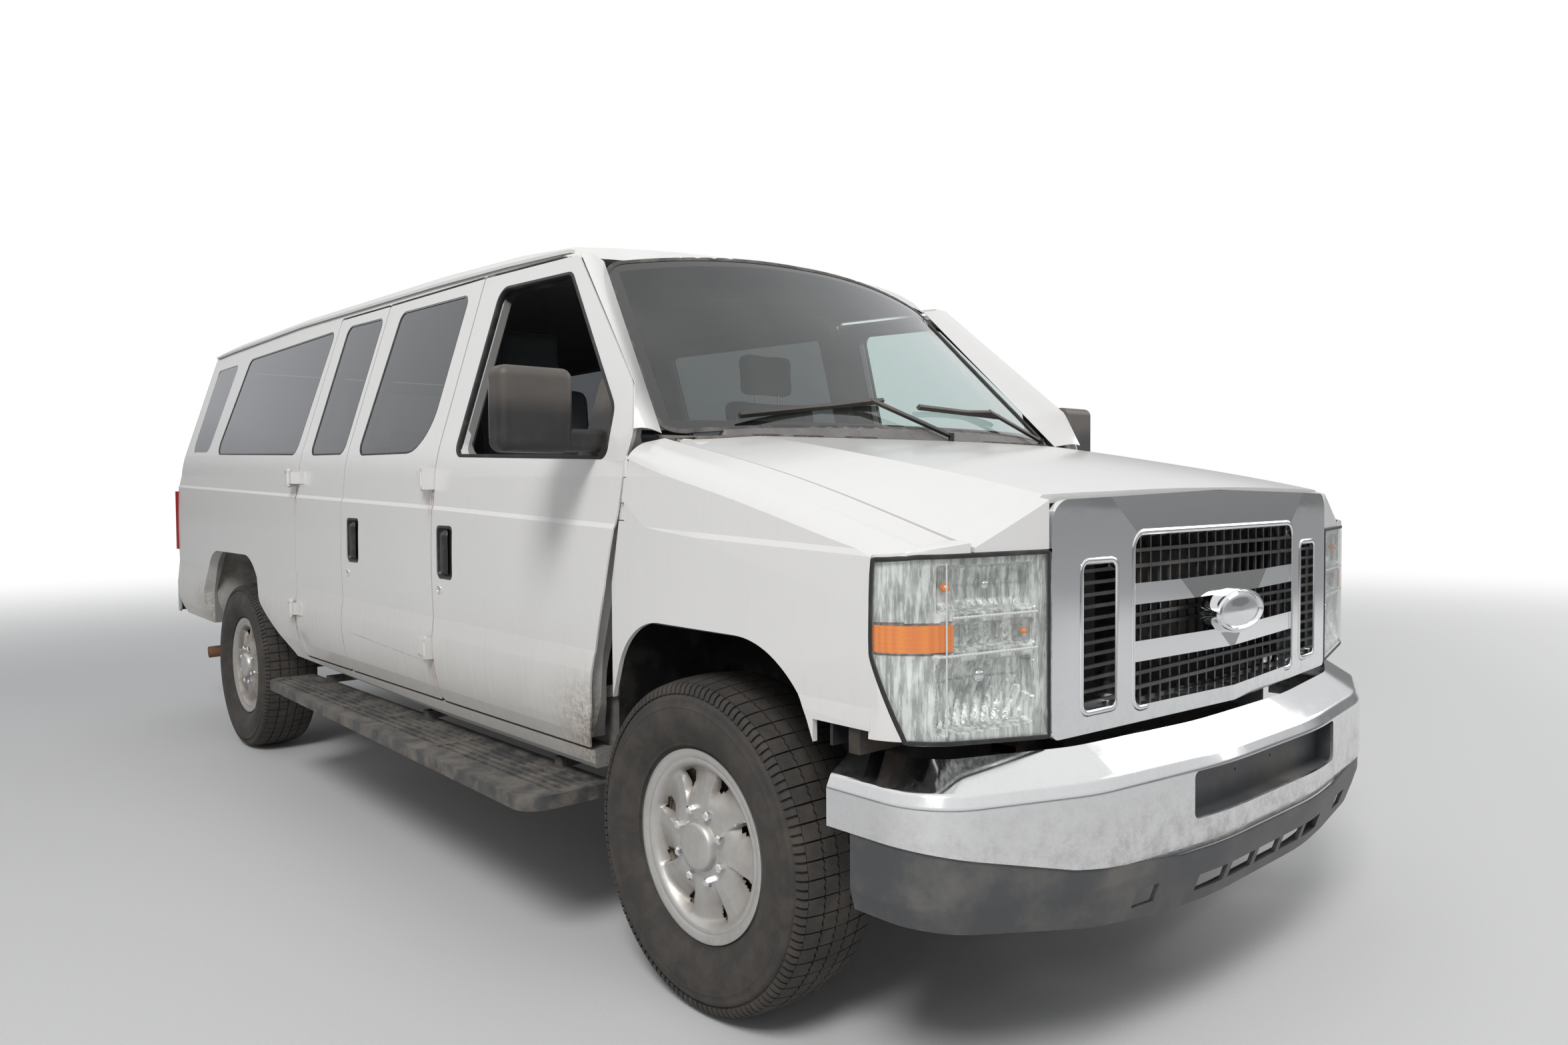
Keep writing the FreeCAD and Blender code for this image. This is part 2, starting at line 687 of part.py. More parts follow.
def side_hinge(axis, rows, turn):
    """Outside hinges of a cargo door: the body's ears and pins, and the door's knuckles."""
    x, y = axis
    ears, rings = [], []

    def span(x0, x1, near, far, z0, z1):
        ends = sorted((y + turn * near, y + turn * far))
        return box(x0, x1, ends[0], ends[1], z0, z1)

    for low, high, surface in rows:
        root = surface - 10
        z0, z1 = low + EAR_H + 1, high - EAR_H - 1
        rings.append(knuckle(x, y, z0, z1, fuse([
            span(root, x + 4, 12, 36, z0, z1), span(root, surface + 6, 12, 84, z0, z1),
            span(x - 4, x + 4, 0, 13, z0, z1)])))
        for base in (low, high - EAR_H):
            ears.append(Part.makeCylinder(KNUCKLE_R, EAR_H, V(x, y, base)))
            reach = y - B_PILLAR - 1.5 if turn > 0 else 36
            ears.append(span(x - KNUCKLE_R, x + KNUCKLE_R, -reach, 0, base, base + EAR_H))
        ears.append(Part.makeCylinder(PIN_R, high - low + 8, V(x, y, low - 4)))
        if turn > 0:
            ears.append(box(905, x + KNUCKLE_R, B_PILLAR - 1.5, B_PILLAR + 1.5, low, high))
        else:
            ears.append(span(root, x + 4, -36, -12, low, high))
            ears.append(span(root, surface + 6, -84, -12, low, high))
    return fuse(ears), Part.makeCompound(rings)


def rear_hinge():
    """Outside hinges of a rear door: the frame's ears and pins, and the door's knuckles."""
    x, y = REAR_HINGE
    ears, rings = [], []
    for low, high in REAR_HINGE_Z:
        z0, z1 = low + EAR_H + 1, high - EAR_H - 1
        arm = box(x - 110, x, y - 6, y + 2, z0, z1)
        foot = box(x - 110, x - 62, BODY_REAR - 2, y, z0, z1)
        rings.append(knuckle(x, y, z0, z1, fuse([arm, foot])))
        for base in (low, high - EAR_H):
            root = box(x - 4, x + 56, BODY_REAR - 2, y + 2, base, base + EAR_H)
            ears.append(fuse([Part.makeCylinder(KNUCKLE_R, EAR_H, V(x, y, base)), root]))
        ears.append(Part.makeCylinder(PIN_R, high - low + 8, V(x, y, low - 4)))
        ears.append(box(x + 16, x + 56, BODY_REAR - 2, y - 4, low, high))
    return fuse(ears), Part.makeCompound(rings)


def front_knuckles():
    """Knuckles of the left front door, set into the fender's rear edge."""
    x, y = FRONT_HINGE
    rings = []
    for z0, z1 in FRONT_HINGE_Z:
        ring = Part.makeCylinder(FRONT_KNUCKLE_R, z1 - z0, V(x, y, z0))
        arm = box(x - 5, x + 4, y + 3, y + 44, z0, z1)
        rings.append(fuse([ring, arm]).cut(
            Part.makeCylinder(FRONT_PIN_R + HINGE_PLAY, 100, V(x, y, z0 - 20))))
    return Part.makeCompound(rings)


def front_notches():
    """Room for the front door's knuckles in the fender, and the pins that stay in it."""
    x, y = FRONT_HINGE
    rooms, pins = [], []
    for z0, z1 in FRONT_HINGE_Z:
        rooms.append(Part.makeCylinder(13, z1 - z0 + 4, V(x, y, z0 - 2)))
        rooms.append(box(x - 20, x + 30, y, y + 40, z0 - 2, z1 + 2))
        pins.append(Part.makeCylinder(FRONT_PIN_R, z1 - z0 + 24, V(x, y, z0 - 12)))
    return fuse(rooms), pins


def handle_recess(y0, y1, z0, z1):
    """The hollow that a door handle lies in, sunk from the door's outer face."""
    rows = ((y0, z0, 18), (y1, z0, 18), (y1, z1, 18), (y0, z1, 18))
    floor = side_hull(RECESS, RECESS, y0 - 20, y1 + 20)
    return prism("YZ", rows, *LEFT).cut(floor)


def sail_prism(low=500.0, high=1200.0):
    """Outline of the mirror's base in the front corner of the door's window."""
    rows = ((335, 1285, 18), (348, 1408, 60), (428, 1491, 0), (440, 1478, 12), (446, 1285, 0))
    return prism("YZ", rows, low, high)


def make_body():
    """Roof, sides, rear frame, doors and their glass."""
    parts = {}
    above = above_rail()
    ahead = before_glass(0.0)
    lean = lean_cut()
    window_hole = glass_prism()
    front = Layers(NOSE_START, B_PILLAR, [above])
    rear = Layers(B_PILLAR, BODY_REAR - REAR_CORNER[0][0], [above])

    # the A pillar and the rail over the front door
    bed = before_glass(GLASS_BED)
    pillar = front.outer.cut(front.inside.cut(bed)).cut(ahead)
    pillar = pillar.common(box(690, 1300, 237, B_PILLAR, BELT_SHELF, 2300))
    pillar = pillar.cut(window_hole).cut(opening(FRONT_DOOR))
    sill_front = front.wall.common(box(600, 1300, 430, B_PILLAR, 300, 535 - SHUT / 2))
    flank = rear.wall.cut(rear_arch()).common(box(600, 1300, 0, 5000, 300, 2300))
    post, wall_side = b_pillar()
    posts = [pillar, sill_front]

    left = fuse(posts + [flank])
    for name in ("long_left", "quarter", "rear"):
        left = left.cut(prism("YZ", OUTLINE[name], *LEFT))
    left = fuse([left, post, wall_side])
    parts["side_left"] = left
    right = flank.cut(opening(CARGO_FRONT)).cut(opening(CARGO_REAR))
    for name in ("quarter", "rear"):
        right = right.cut(prism("YZ", OUTLINE[name], *LEFT))
    right = fuse(posts + [right, post])
    bracket_b, ring_b = side_hinge(CARGO_HINGE, CARGO_HINGE_ROWS, 1)
    bracket_d, ring_d = side_hinge(D_HINGE, D_HINGE_ROWS, -1)
    parts["side_right"] = mirrored(fuse([right, bracket_b, bracket_d]))

    inner_rear = BODY_REAR - 50
    hollow = roof_solid(WALL_HIGH, ROOF_T, inner_rear).cut(bed)
    roof = roof_solid().cut(ahead).cut(lean).cut(hollow).cut(window_hole)
    parts["roof"] = fuse([roof] + both(gutter()))

    corner = side_hull(0, 0, BODY_REAR - REAR_CORNER[0][0], BODY_REAR).cut(above).cut(lean)
    hollow = side_hull(WALL_LOW, WALL_HIGH, BODY_REAR - REAR_CORNER[0][0], inner_rear)
    sill_z, head_z = REAR_DOOR_Z
    half_hole = prism("XZ", ((-500, sill_z, 0), (REAR_DOOR_X, sill_z, 25),
                             (REAR_DOOR_X - 88, head_z, 60), (-500, head_z, 0)), 4300, 4700)
    half = corner.cut(hollow).cut(half_hole)
    half = half.cut(box(-10, RAIL_X + RAIL_HALF + 10, 4300, 4700, 400, RAIL_Z[1] + 12))
    rear_bracket, rear_ring = rear_hinge()
    parts["rear_frame"] = fuse(both(fuse([half, rear_bracket])))

    front_door = front.door(FRONT_DOOR).cut(prism("YZ", FRONT_WINDOW, *LEFT))
    front_door = fuse([front_door, front_knuckles()])
    front_door = front_door.cut(handle_recess(*FRONT_HANDLE))
    parts["front_door_left"] = front_door
    parts["front_door_right"] = mirrored(front_door)
    sail_side = prism("YZ", ((200, 1200, 0), (452, 1200, 0), (440, 1600, 0), (200, 1600, 0)),
                      *LEFT)
    parts["door_glass_left"] = front.pane(FRONT_WINDOW).cut(sail_side)
    for name, rows, ring in (("cargo_front", CARGO_FRONT, ring_b),
                             ("cargo_rear", CARGO_REAR, ring_d)):
        panel = rear.door(rows).cut(prism("YZ", OUTLINE[name], *LEFT))
        if name == "cargo_front":
            panel = panel.cut(handle_recess(*CARGO_HANDLE))
        parts[name + "_door"] = mirrored(fuse([panel, ring]))
        parts[name + "_glass"] = mirrored(rear.pane(OUTLINE[name]))
    fixed = [rear.pane(OUTLINE[name]) for name in ("long_left", "quarter", "rear")]
    fixed += [mirrored(rear.pane(OUTLINE[name])) for name in ("quarter", "rear")]
    parts["side_glass"] = Part.makeCompound(fixed)

    block = corner.common(box(0, 1300, inner_rear, 5000, 300, 2300))
    outline = ((4, sill_z + 6, 10), (REAR_DOOR_X - 8, sill_z + 6, 20),
               (REAR_DOOR_X - 92, head_z - 6, 55), (4, head_z - 6, 10))
    window = ((70, 1330, 40), (700, 1330, 60), (648, 1790, 60), (70, 1790, 40))
    hole = prism("XZ", window, 4300, 4700)
    panel = block.common(prism("XZ", outline, 4300, 4700)).cut(hole)
    panel = fuse([panel, rear_ring])
    front_face, back_face = block.copy(), block.copy()
    front_face.translate(V(0, -GLASS_DEPTH, 0))
    back_face.translate(V(0, -GLASS_DEPTH - GLASS_T, 0))
    glass = front_face.common(hole).cut(back_face)
    for side, place in (("left", lambda shape: shape), ("right", mirrored)):
        parts["rear_door_" + side] = place(panel)
        parts["rear_glass_" + side] = place(glass)
    slab = before_glass(GLASS_DEPTH + GLASS_T).cut(before_glass(GLASS_DEPTH))
    parts["windshield"] = slab.common(window_hole)
    return parts, front


def opening(rows):
    return grown_prism("YZ", rows, SHUT / 2, *LEFT)


def make_nose(front):
    """Hood, fenders, lamps and grille."""
    parts = {}
    upper = nose_solid()
    face = face_prism()
    outer = common(front.outer, upper, face)
    peel = side_hull(FENDER_T, FENDER_T, NOSE_START, B_PILLAR)
    inner = common(peel, nose_solid(FENDER_T, FENDER_T), face_prism(FENDER_T))
    seam = prism("XY", ((875, 330, 0), (853, -705, 0), (853, -900, 0), (-500, -900, 0),
                        (-500, 330, 0)), 300, 1500)
    arch = prism("YZ", FRONT_ARCH, *ALL_X)
    fender = outer.cut(inner).cut(seam).cut(arch).cut(opening(FRONT_DOOR))
    fender = fender.common(box(-10, 1300, -900, 420, 300, BELT_SHELF))
    fender = fender.cut(box(-10, 1300, -900, -430, 300, 752))
    fender = fender.cut(box(-10, 1300, -900, -584, 700, 1078))
    rooms, pins = front_notches()
    fender = fuse([biggest(fender.cut(rooms))] + pins)
    parts["fender_left"] = fender
    parts["fender_right"] = mirrored(fender)

    hood = common(upper, face_prism(HOOD_LAP), hood_plan_prism())
    hood = hood.cut(common(nose_solid(HOOD_T, 0), face_prism(HOOD_LAP + HOOD_T)))
    hood = biggest(hood.common(box(-1300, 1300, -900, 300, LAMP_TOP + HOOD_GAP, 1500)))
    y, z = HOOD_HINGE
    x0, x1 = HOOD_HINGE_X
    eye = rod(V(x0, y, z), V(x1, y, z), HOOD_EYE_R)
    neck = box(x0, x1, y - 70, y, z - 16, z - 2)
    knuckles = fuse([eye, neck]).cut(rod(V(x0 - 5, y, z), V(x1 + 5, y, z),
                                         HOOD_PIN_R + HINGE_PLAY))
    parts["hood"] = fuse([hood.cut(Part.makeCompound(both(hood_room())))] + both(knuckles))
    return parts


def hood_plan_prism(grow=0.0):
    """The hood's outline seen from above; grown at its rear edge by a gap."""
    side, rear = 875 - HOOD_GAP, 205 + grow
    return prism("XY", ((side, rear, 30), (0, HOOD_REAR + grow, 2600), (-side, rear, 30),
                        (-853 + HOOD_GAP, -697, 0), (-853 + HOOD_GAP, -860, 0),
                        (-655 - HOOD_GAP, -860, 0), (-655 - HOOD_GAP, -717, 0),
                        (-400, -737, 0), (0, -744, 0), (400, -737, 0),
                        (655 + HOOD_GAP, -717, 0), (655 + HOOD_GAP, -860, 0),
                        (853 - HOOD_GAP, -860, 0), (853 - HOOD_GAP, -697, 0)), 300, 1500)


def hood_room():
    """Space about a hood hinge, kept free in the hood and the cowl."""
    y, z = HOOD_HINGE
    x0, x1 = HOOD_HINGE_X
    return rod(V(x0 - 18, y, z), V(x1 + 18, y, z), HOOD_EYE_R + 5)


def hood_ears():
    """The body's ears and pins for the hood, either side of each of its eyes."""
    y, z = HOOD_HINGE
    x0, x1 = HOOD_HINGE_X
    ears = [rod(V(x0 - 12, y, z), V(x1 + 12, y, z), HOOD_PIN_R)]
    for a, b in ((x0 - 12, x0 - 2), (x1 + 2, x1 + 12)):
        ears.append(rod(V(a, y, z), V(b, y, z), HOOD_EYE_R))
        ears.append(box(a, b, y - 6, y + 60, SHELF_Z[0], z - 2))
    return fuse(ears)


def biggest(shape):
    """The main solid of a cut, without the crumbs that it leaves."""
    return max(shape.Solids, key=lambda solid: solid.Volume)


def inside_path(path, inset, low, high):
    """The plan region behind a bumper's path, as a solid."""
    wire = Part.Wire(Part.__sortEdges__(edges_of(path)))
    wire = wire.makeOffset2D(-inset)
    wire.translate(V(0, 0, low))
    return Part.Face(wire).extrude(V(0, 0, high - low))


def make_front(front):
    """Cowl, firewall, wheelhouses and radiator."""
    parts = {}
    upper = nose_solid()
    plan = prism("XY", ((868, 205 + COWL_GAP, 12), (868, 330, 0), (-868, 330, 0),
                        (-868, 205 + COWL_GAP, 12), (0, HOOD_REAR + COWL_GAP, 2600)),
                 1200, 1500)
    under_cowl = nose_solid(COWL_T)
    cowl = common(upper.cut(under_cowl), plan, before_glass())
    y, z = HOOD_HINGE
    neck_room = box(HOOD_HINGE_X[0] - 6, HOOD_HINGE_X[1] + 6, y - 30, y, z - 22, z + 15)
    rooms = both(fuse([hood_room(), neck_room]))
    parts["cowl_panel"] = biggest(cowl.cut(Part.makeCompound(rooms)))

    # firewall, its shelf under the cowl and the frame below the windshield
    wall = box(-FIREWALL_HALF, FIREWALL_HALF, CAB_FRONT - FIREWALL_T, CAB_FRONT,
               FLOOR_Z - FLOOR_T, BELT_SHELF - 25)
    shelf = box(-850, 850, 90, CAB_FRONT, *SHELF_Z).common(nose_solid(HOOD_T + 8))
    riser = box(-850, 850, 232, 250, 1280, 1345)
    riser = common(fuse([riser, box(-640, 640, 60, 84, 1280, 1345),
                         box(-640, 640, 60, 110, *SHELF_Z)]), under_cowl)
    riser = riser.cut(hood_plan_prism(COWL_GAP / 2))
    tunnel = box(-TUNNEL_HALF, TUNNEL_HALF, 0, TUNNEL_REAR, 600, TUNNEL_TOP)
    house = box(HOUSE_X - HOUSE_T, 1300, -900, HOUSE_REAR + HOUSE_T, 300, HOUSE_TOP + HOUSE_T)
    trench = box(HOOD_HINGE_X[0] - 18, HOOD_HINGE_X[1] + 18, 100, HOOD_HINGE[0] + 14, 1290, 1400)
    firewall = fuse([wall, shelf, riser]).cut(fuse([tunnel] + both(house)))
    firewall = fuse([firewall.cut(Part.makeCompound(both(trench)))] + both(hood_ears()))
    lip = side_hull(WALL_LOW, WALL_HIGH, NOSE_START, B_PILLAR).cut(before_glass(0.0))
    lip = lip.common(before_glass(GLASS_BED)).cut(glass_prism())
    lip = lip.common(box(-1, 690, -900, 900, BELT_SHELF - 35, 1420))
    firewall = fuse([firewall] + both(biggest(lip)))
    parts["firewall"] = firewall.cut(parts["cowl_panel"])

    # front wheelhouse: inner wall, top, front and rear panels, open at the arch
    shell = box(HOUSE_X - HOUSE_T, 1100, HOUSE_FRONT - HOUSE_T, HOUSE_REAR + HOUSE_T, 470,
                HOUSE_TOP + HOUSE_T)
    shell = shell.cut(box(HOUSE_X, 1300, HOUSE_FRONT, HOUSE_REAR, 300, HOUSE_TOP))
    liner = shell.common(side_hull(FENDER_T, FENDER_T, NOSE_START, B_PILLAR))
    liner = liner.cut(box(880, 1300, 200, 900, 300, 1000))
    liner = liner.cut(box(880, 1300, -600, -400, 300, 706))
    parts["wheel_liners"] = Part.makeCompound(both(biggest(liner)))

    # radiator, its support behind the lamps, and the arms that hold the grille
    support = box(0, 1100, -550, -520, 600, 1040)
    support = support.common(side_hull(FENDER_T, FENDER_T, NOSE_START, B_PILLAR))
    support = support.cut(box(RAIL_X + RAIL_HALF, 1300, -900, -300, 500, 700))
    core = box(0, 400, -600, -545, 610, 1040)
    arm = box(592, 638, GRILLE_BACK + 12, -550, 740, 1040)
    foot = box(RAIL_X - RAIL_HALF, RAIL_X + RAIL_HALF, -550, -520, RAIL_Z[1], 640)
    half = fuse([support, core, arm, foot])
    parts["radiator"] = fuse(both(half))
    return parts


def make_grille():
    """Chrome surround with its two bars and blank boss, and the dark insert behind."""
    face = face_prism(0, 690, 1300)
    outline = prism("XZ", ((-655, 703, 18), (655, 703, 18), (655, 1176, 50), (0, 1192, 0),
                           (-655, 1176, 50)), -900, -600)
    lean = prism("YZ", ((-900, 600, 0), (-798, 600, 0), (-798, 790, 0), (-758, 1190, 0),
                        (-758, 1300, 0), (-900, 1300, 0)), -1000, 1000)
    hood_room = box(-1000, 1000, -753, -500, 1130, 1300).common(face_prism(14, 690, 1300))
    band = common(face.cut(face_prism(GRILLE_DEPTH, 690, 1300)), outline)
    band = band.cut(lean).cut(hood_room)
    holes = [prism("XZ", GRILLE_CENTRE, -900, -500)]
    holes += both(prism("XZ", GRILLE_SIDE, -900, -500))
    band = band.cut(fuse(holes))
    bars = []
    for low, high in GRILLE_BARS:
        bar = box(-GRILLE_HALF - 6, GRILLE_HALF + 6, -900, -600, low, high)
        bar = common(face_prism(3, 690, 1300).cut(face_prism(42, 690, 1300)), bar)
        bars.append(bar.cut(lean))
    boss = Part.makeCylinder(1, 40, V(0, 0, 0), V(0, -1, 0))
    boss = boss.transformGeometry(FreeCAD.Matrix(
        BADGE_HALF, 0, 0, 0, 0, 1, 0, -772, 0, 0, BADGE_HIGH / 2, BADGE_Z, 0, 0, 0, 1))
    surround = fuse([band] + bars + [boss])

    blades = []
    for low, high in GRILLE_GAPS:
        pitch = (high - low) / 3
        for row in (1, 2):
            z = low + pitch * row
            blades.append(box(-GRILLE_HALF, GRILLE_HALF, GRILLE_BACK - 10, GRILLE_BACK,
                              z - 4, z + 4))
    for i in range(GRILLE_FINS):
        x = -GRILLE_HALF + (i + 0.5) * 2 * GRILLE_HALF / GRILLE_FINS
        blades.append(box(x - 3, x + 3, GRILLE_BACK - 6, GRILLE_BACK,
                          GRILLE_GAPS[0][0], GRILLE_GAPS[-1][1]))
    (x0, z0, _), (x1, _, _), (_, z1, _), _ = GRILLE_SIDE
    for i in range(LOUVRES):
        z = z0 + (i + 0.5) * (z1 - z0) / LOUVRES
        blades += both(box(x0 - 6, x1 + 6, GRILLE_BACK - 6, GRILLE_BACK, z - 6, z + 1))
    frame = box(-638, 638, GRILLE_BACK, GRILLE_BACK + 12, 716, 1120)
    holes = [prism("XZ", [(x * 0.985, (z - 915) * 0.97 + 915, r) for x, z, r in rows], -900, -700)
             for rows in (GRILLE_CENTRE, GRILLE_SIDE)]
    frame = frame.cut(fuse([holes[0]] + both(holes[1])))
    insert = fuse([frame] + blades).cut(surround)
    return {"grille_surround": surround, "grille_insert": insert}


def make_lamps(front):
    """Each lamp: a clear lens that carries on the nose's surface, and its bucket."""
    outline = prism("XZ", ((661, 714, 12), (955, 735, 14), (1300, 760, 0),
                           (1300, LAMP_TOP, 0), (661, LAMP_TOP, 14)), -900, -587)
    under_hood = nose_solid(LENS_T + 3)
    block = common(front.outer, face_prism(), outline, under_hood)
    back = common(side_hull(LENS_T, LENS_T, NOSE_START, B_PILLAR), face_prism(LENS_T), outline,
                  under_hood)
    lens = biggest(block.cut(back))
    bucket = back
    for x0, x1, z0, z1, depth in LAMP_POCKETS:
        bucket = bucket.cut(box(x0, x1, -900, -560, z0, z1).cut(face_prism(depth)))
    bowl = Part.makeSphere(118, V(800, -790, 808)).common(box(680, 940, -900, -600, 744, 880))
    turn = Part.makeSphere(80, V(790, -770, 1012)).common(box(680, 930, -900, -600, 970, 1056))
    bucket = biggest(bucket.cut(bowl).cut(turn))
    return {"headlamp_lenses": Part.makeCompound(both(lens)),
            "headlamp_buckets": Part.makeCompound(both(bucket))}


def make_bumpers():
    parts = {}
    shell = sweep(BUMPER_PATH, 0, BUMPER_PROFILE)
    foot = [(x, z, 0) for x, z in BUMPER_FOOT] + [(1300, 200, 0), (-1300, 200, 0)]
    under = prism("XZ", foot, -1200, -300)
    slot = prism("XZ", ((-LICENCE_HALF, LICENCE_Z[0], 14), (LICENCE_HALF, LICENCE_Z[0], 14),
                        (LICENCE_HALF, LICENCE_Z[1], 14), (-LICENCE_HALF, LICENCE_Z[1], 14)),
                 -1000, -700)
    shell = shell.cut(under).cut(slot)
    outward = V(0.70, -0.72, 0).normalize()
    centre = V(936, -658, 612)
    plug = rod(centre - outward * 14, centre + outward * 10, 33)
    groove = box(-40, 40, -6, 6, -6, 6)
    groove.Placement = FreeCAD.Placement(centre + outward * 10,
                                         FreeCAD.Rotation(V(1, 0, 0), V(0.72, 0.70, 0)))
    parts["front_bumper"] = fuse([shell] + both(plug.cut(groove)))

    skirt = sweep(VALANCE_PATH, 0, VALANCE_PROFILE).common(under)
    foot = [(x, z, 0) for x, z in VALANCE_FOOT] + [(1300, 100, 0), (-1300, 100, 0)]
    skirt = skirt.cut(prism("XZ", foot, -1200, -300))
    slots = [box(k * VENT_PITCH - VENT_HALF, k * VENT_PITCH + VENT_HALF, -1000, -840, *VENT_Z)
             for k in (-2, -1, 0, 1, 2)]
    slots += both(box(450, 520, -1000, -820, VENT_Z[0] + 12, VENT_Z[1] + 14))
    skirt = skirt.cut(fuse(slots))
    z0, z1 = LICENCE_Z
    tray = box(-LICENCE_HALF - 12, LICENCE_HALF + 12, -910, -835, z0 - 12, z1 + 12)
    tray = tray.cut(box(-LICENCE_HALF - 2, LICENCE_HALF + 2, -920, -843, z0 - 2, z1 + 2))
    tray = tray.common(inside_path(BUMPER_PATH, BUMPER_WALL, 400, 700)).cut(shell)
    holes = [rod(V(x, -900, (z0 + z1) / 2), V(x, -800, (z0 + z1) / 2), PLATE_HOLE_R)
             for x in (-PLATE_PITCH / 2, PLATE_PITCH / 2)]
    tray = tray.cut(Part.makeCompound(holes))
    parts["front_valance"] = Part.makeCompound([biggest(skirt), biggest(tray)])
    half, z0, z1 = REAR_BUMPER_HALF, *REAR_BUMPER_Z
    t = REAR_BUMPER_T
    outer = prism("XY", ((-half, REAR_BUMPER_FRONT, 0), (half, REAR_BUMPER_FRONT, 0),
                         (half, REAR_END, 50), (-half, REAR_END, 50)), z0, z1)
    inner = prism("XY", ((t - half, 4400, 0), (half - t, 4400, 0),
                         (half - t, REAR_END - t, 50 - t), (t - half, REAR_END - t, 50 - t)),
                  z0 - 50, z1 - t)
    holes = [rod(V(x, REAR_END - 30, (z0 + z1) / 2), V(x, REAR_END + 30, (z0 + z1) / 2),
                 PLATE_HOLE_R) for x in (-PLATE_PITCH / 2, PLATE_PITCH / 2)]
    parts["rear_bumper"] = outer.cut(inner).cut(Part.makeCompound(holes))
    return parts


def make_tail_lamps(frame):
    """A lens round each rear corner, seated on the frame."""
    lens = prism("XY", TAIL_PLAN, *TAIL_Z).cut(frame)
    return {"tail_lamps": Part.makeCompound(both(biggest(lens)))}


def make_floor():
    """Floor pan with its sills and rear wheelhouses, the engine cover and the tunnel."""
    parts = {}
    inner_rear = BODY_REAR - 50
    hull = side_hull(WALL_LOW + 11, WALL_HIGH, B_PILLAR - 1000, inner_rear)
    floor = box(0, 1100, CAB_FRONT, inner_rear, FLOOR_Z - FLOOR_T, FLOOR_Z).common(hull)
    floor = floor.cut(box(0, TUNNEL_HALF, 0, TUNNEL_REAR, 600, 900))
    floor = floor.cut(box(HOUSE_X - HOUSE_T, 1300, 0, HOUSE_REAR + HOUSE_T, 600, 900))
    y0, y1 = WHEELBASE - REAR_HOUSE_HALF, WHEELBASE + REAR_HOUSE_HALF
    house = box(REAR_HOUSE_X - HOUSE_T, 1300, y0 - HOUSE_T, y1 + HOUSE_T, 560,
                REAR_HOUSE_TOP + HOUSE_T)
    room = box(REAR_HOUSE_X, 1300, y0, y1, 300, REAR_HOUSE_TOP)
    inside = side_hull(WALL_LOW, WALL_HIGH, B_PILLAR, inner_rear)
    sill = box(862, 890, 452, 2660, 492, FLOOR_Z - 5)
    flange = box(862, 1100, 452, 2660, 492, 522)
    flange = flange.common(side_hull(WALL_LOW, WALL_HIGH, NOSE_START, inner_rear))
    half = fuse([floor.cut(room), house.cut(room).common(inside), sill, flange])
    parts["floor_pan"] = fuse(both(half))

    cover = box(-TUNNEL_HALF - 30, TUNNEL_HALF + 30, CAB_FRONT, TUNNEL_REAR + 30, FLOOR_Z,
                TUNNEL_TOP + 30)
    top_edges = [edge for edge in cover.Edges
                 if edge.BoundBox.ZMin > TUNNEL_TOP and edge.BoundBox.YMax > CAB_FRONT + 1]
    cover = cover.makeFillet(24, top_edges)
    cover = cover.cut(box(-TUNNEL_HALF, TUNNEL_HALF, 0, TUNNEL_REAR, 600, TUNNEL_TOP))
    parts["engine_cover"] = cover
    return parts


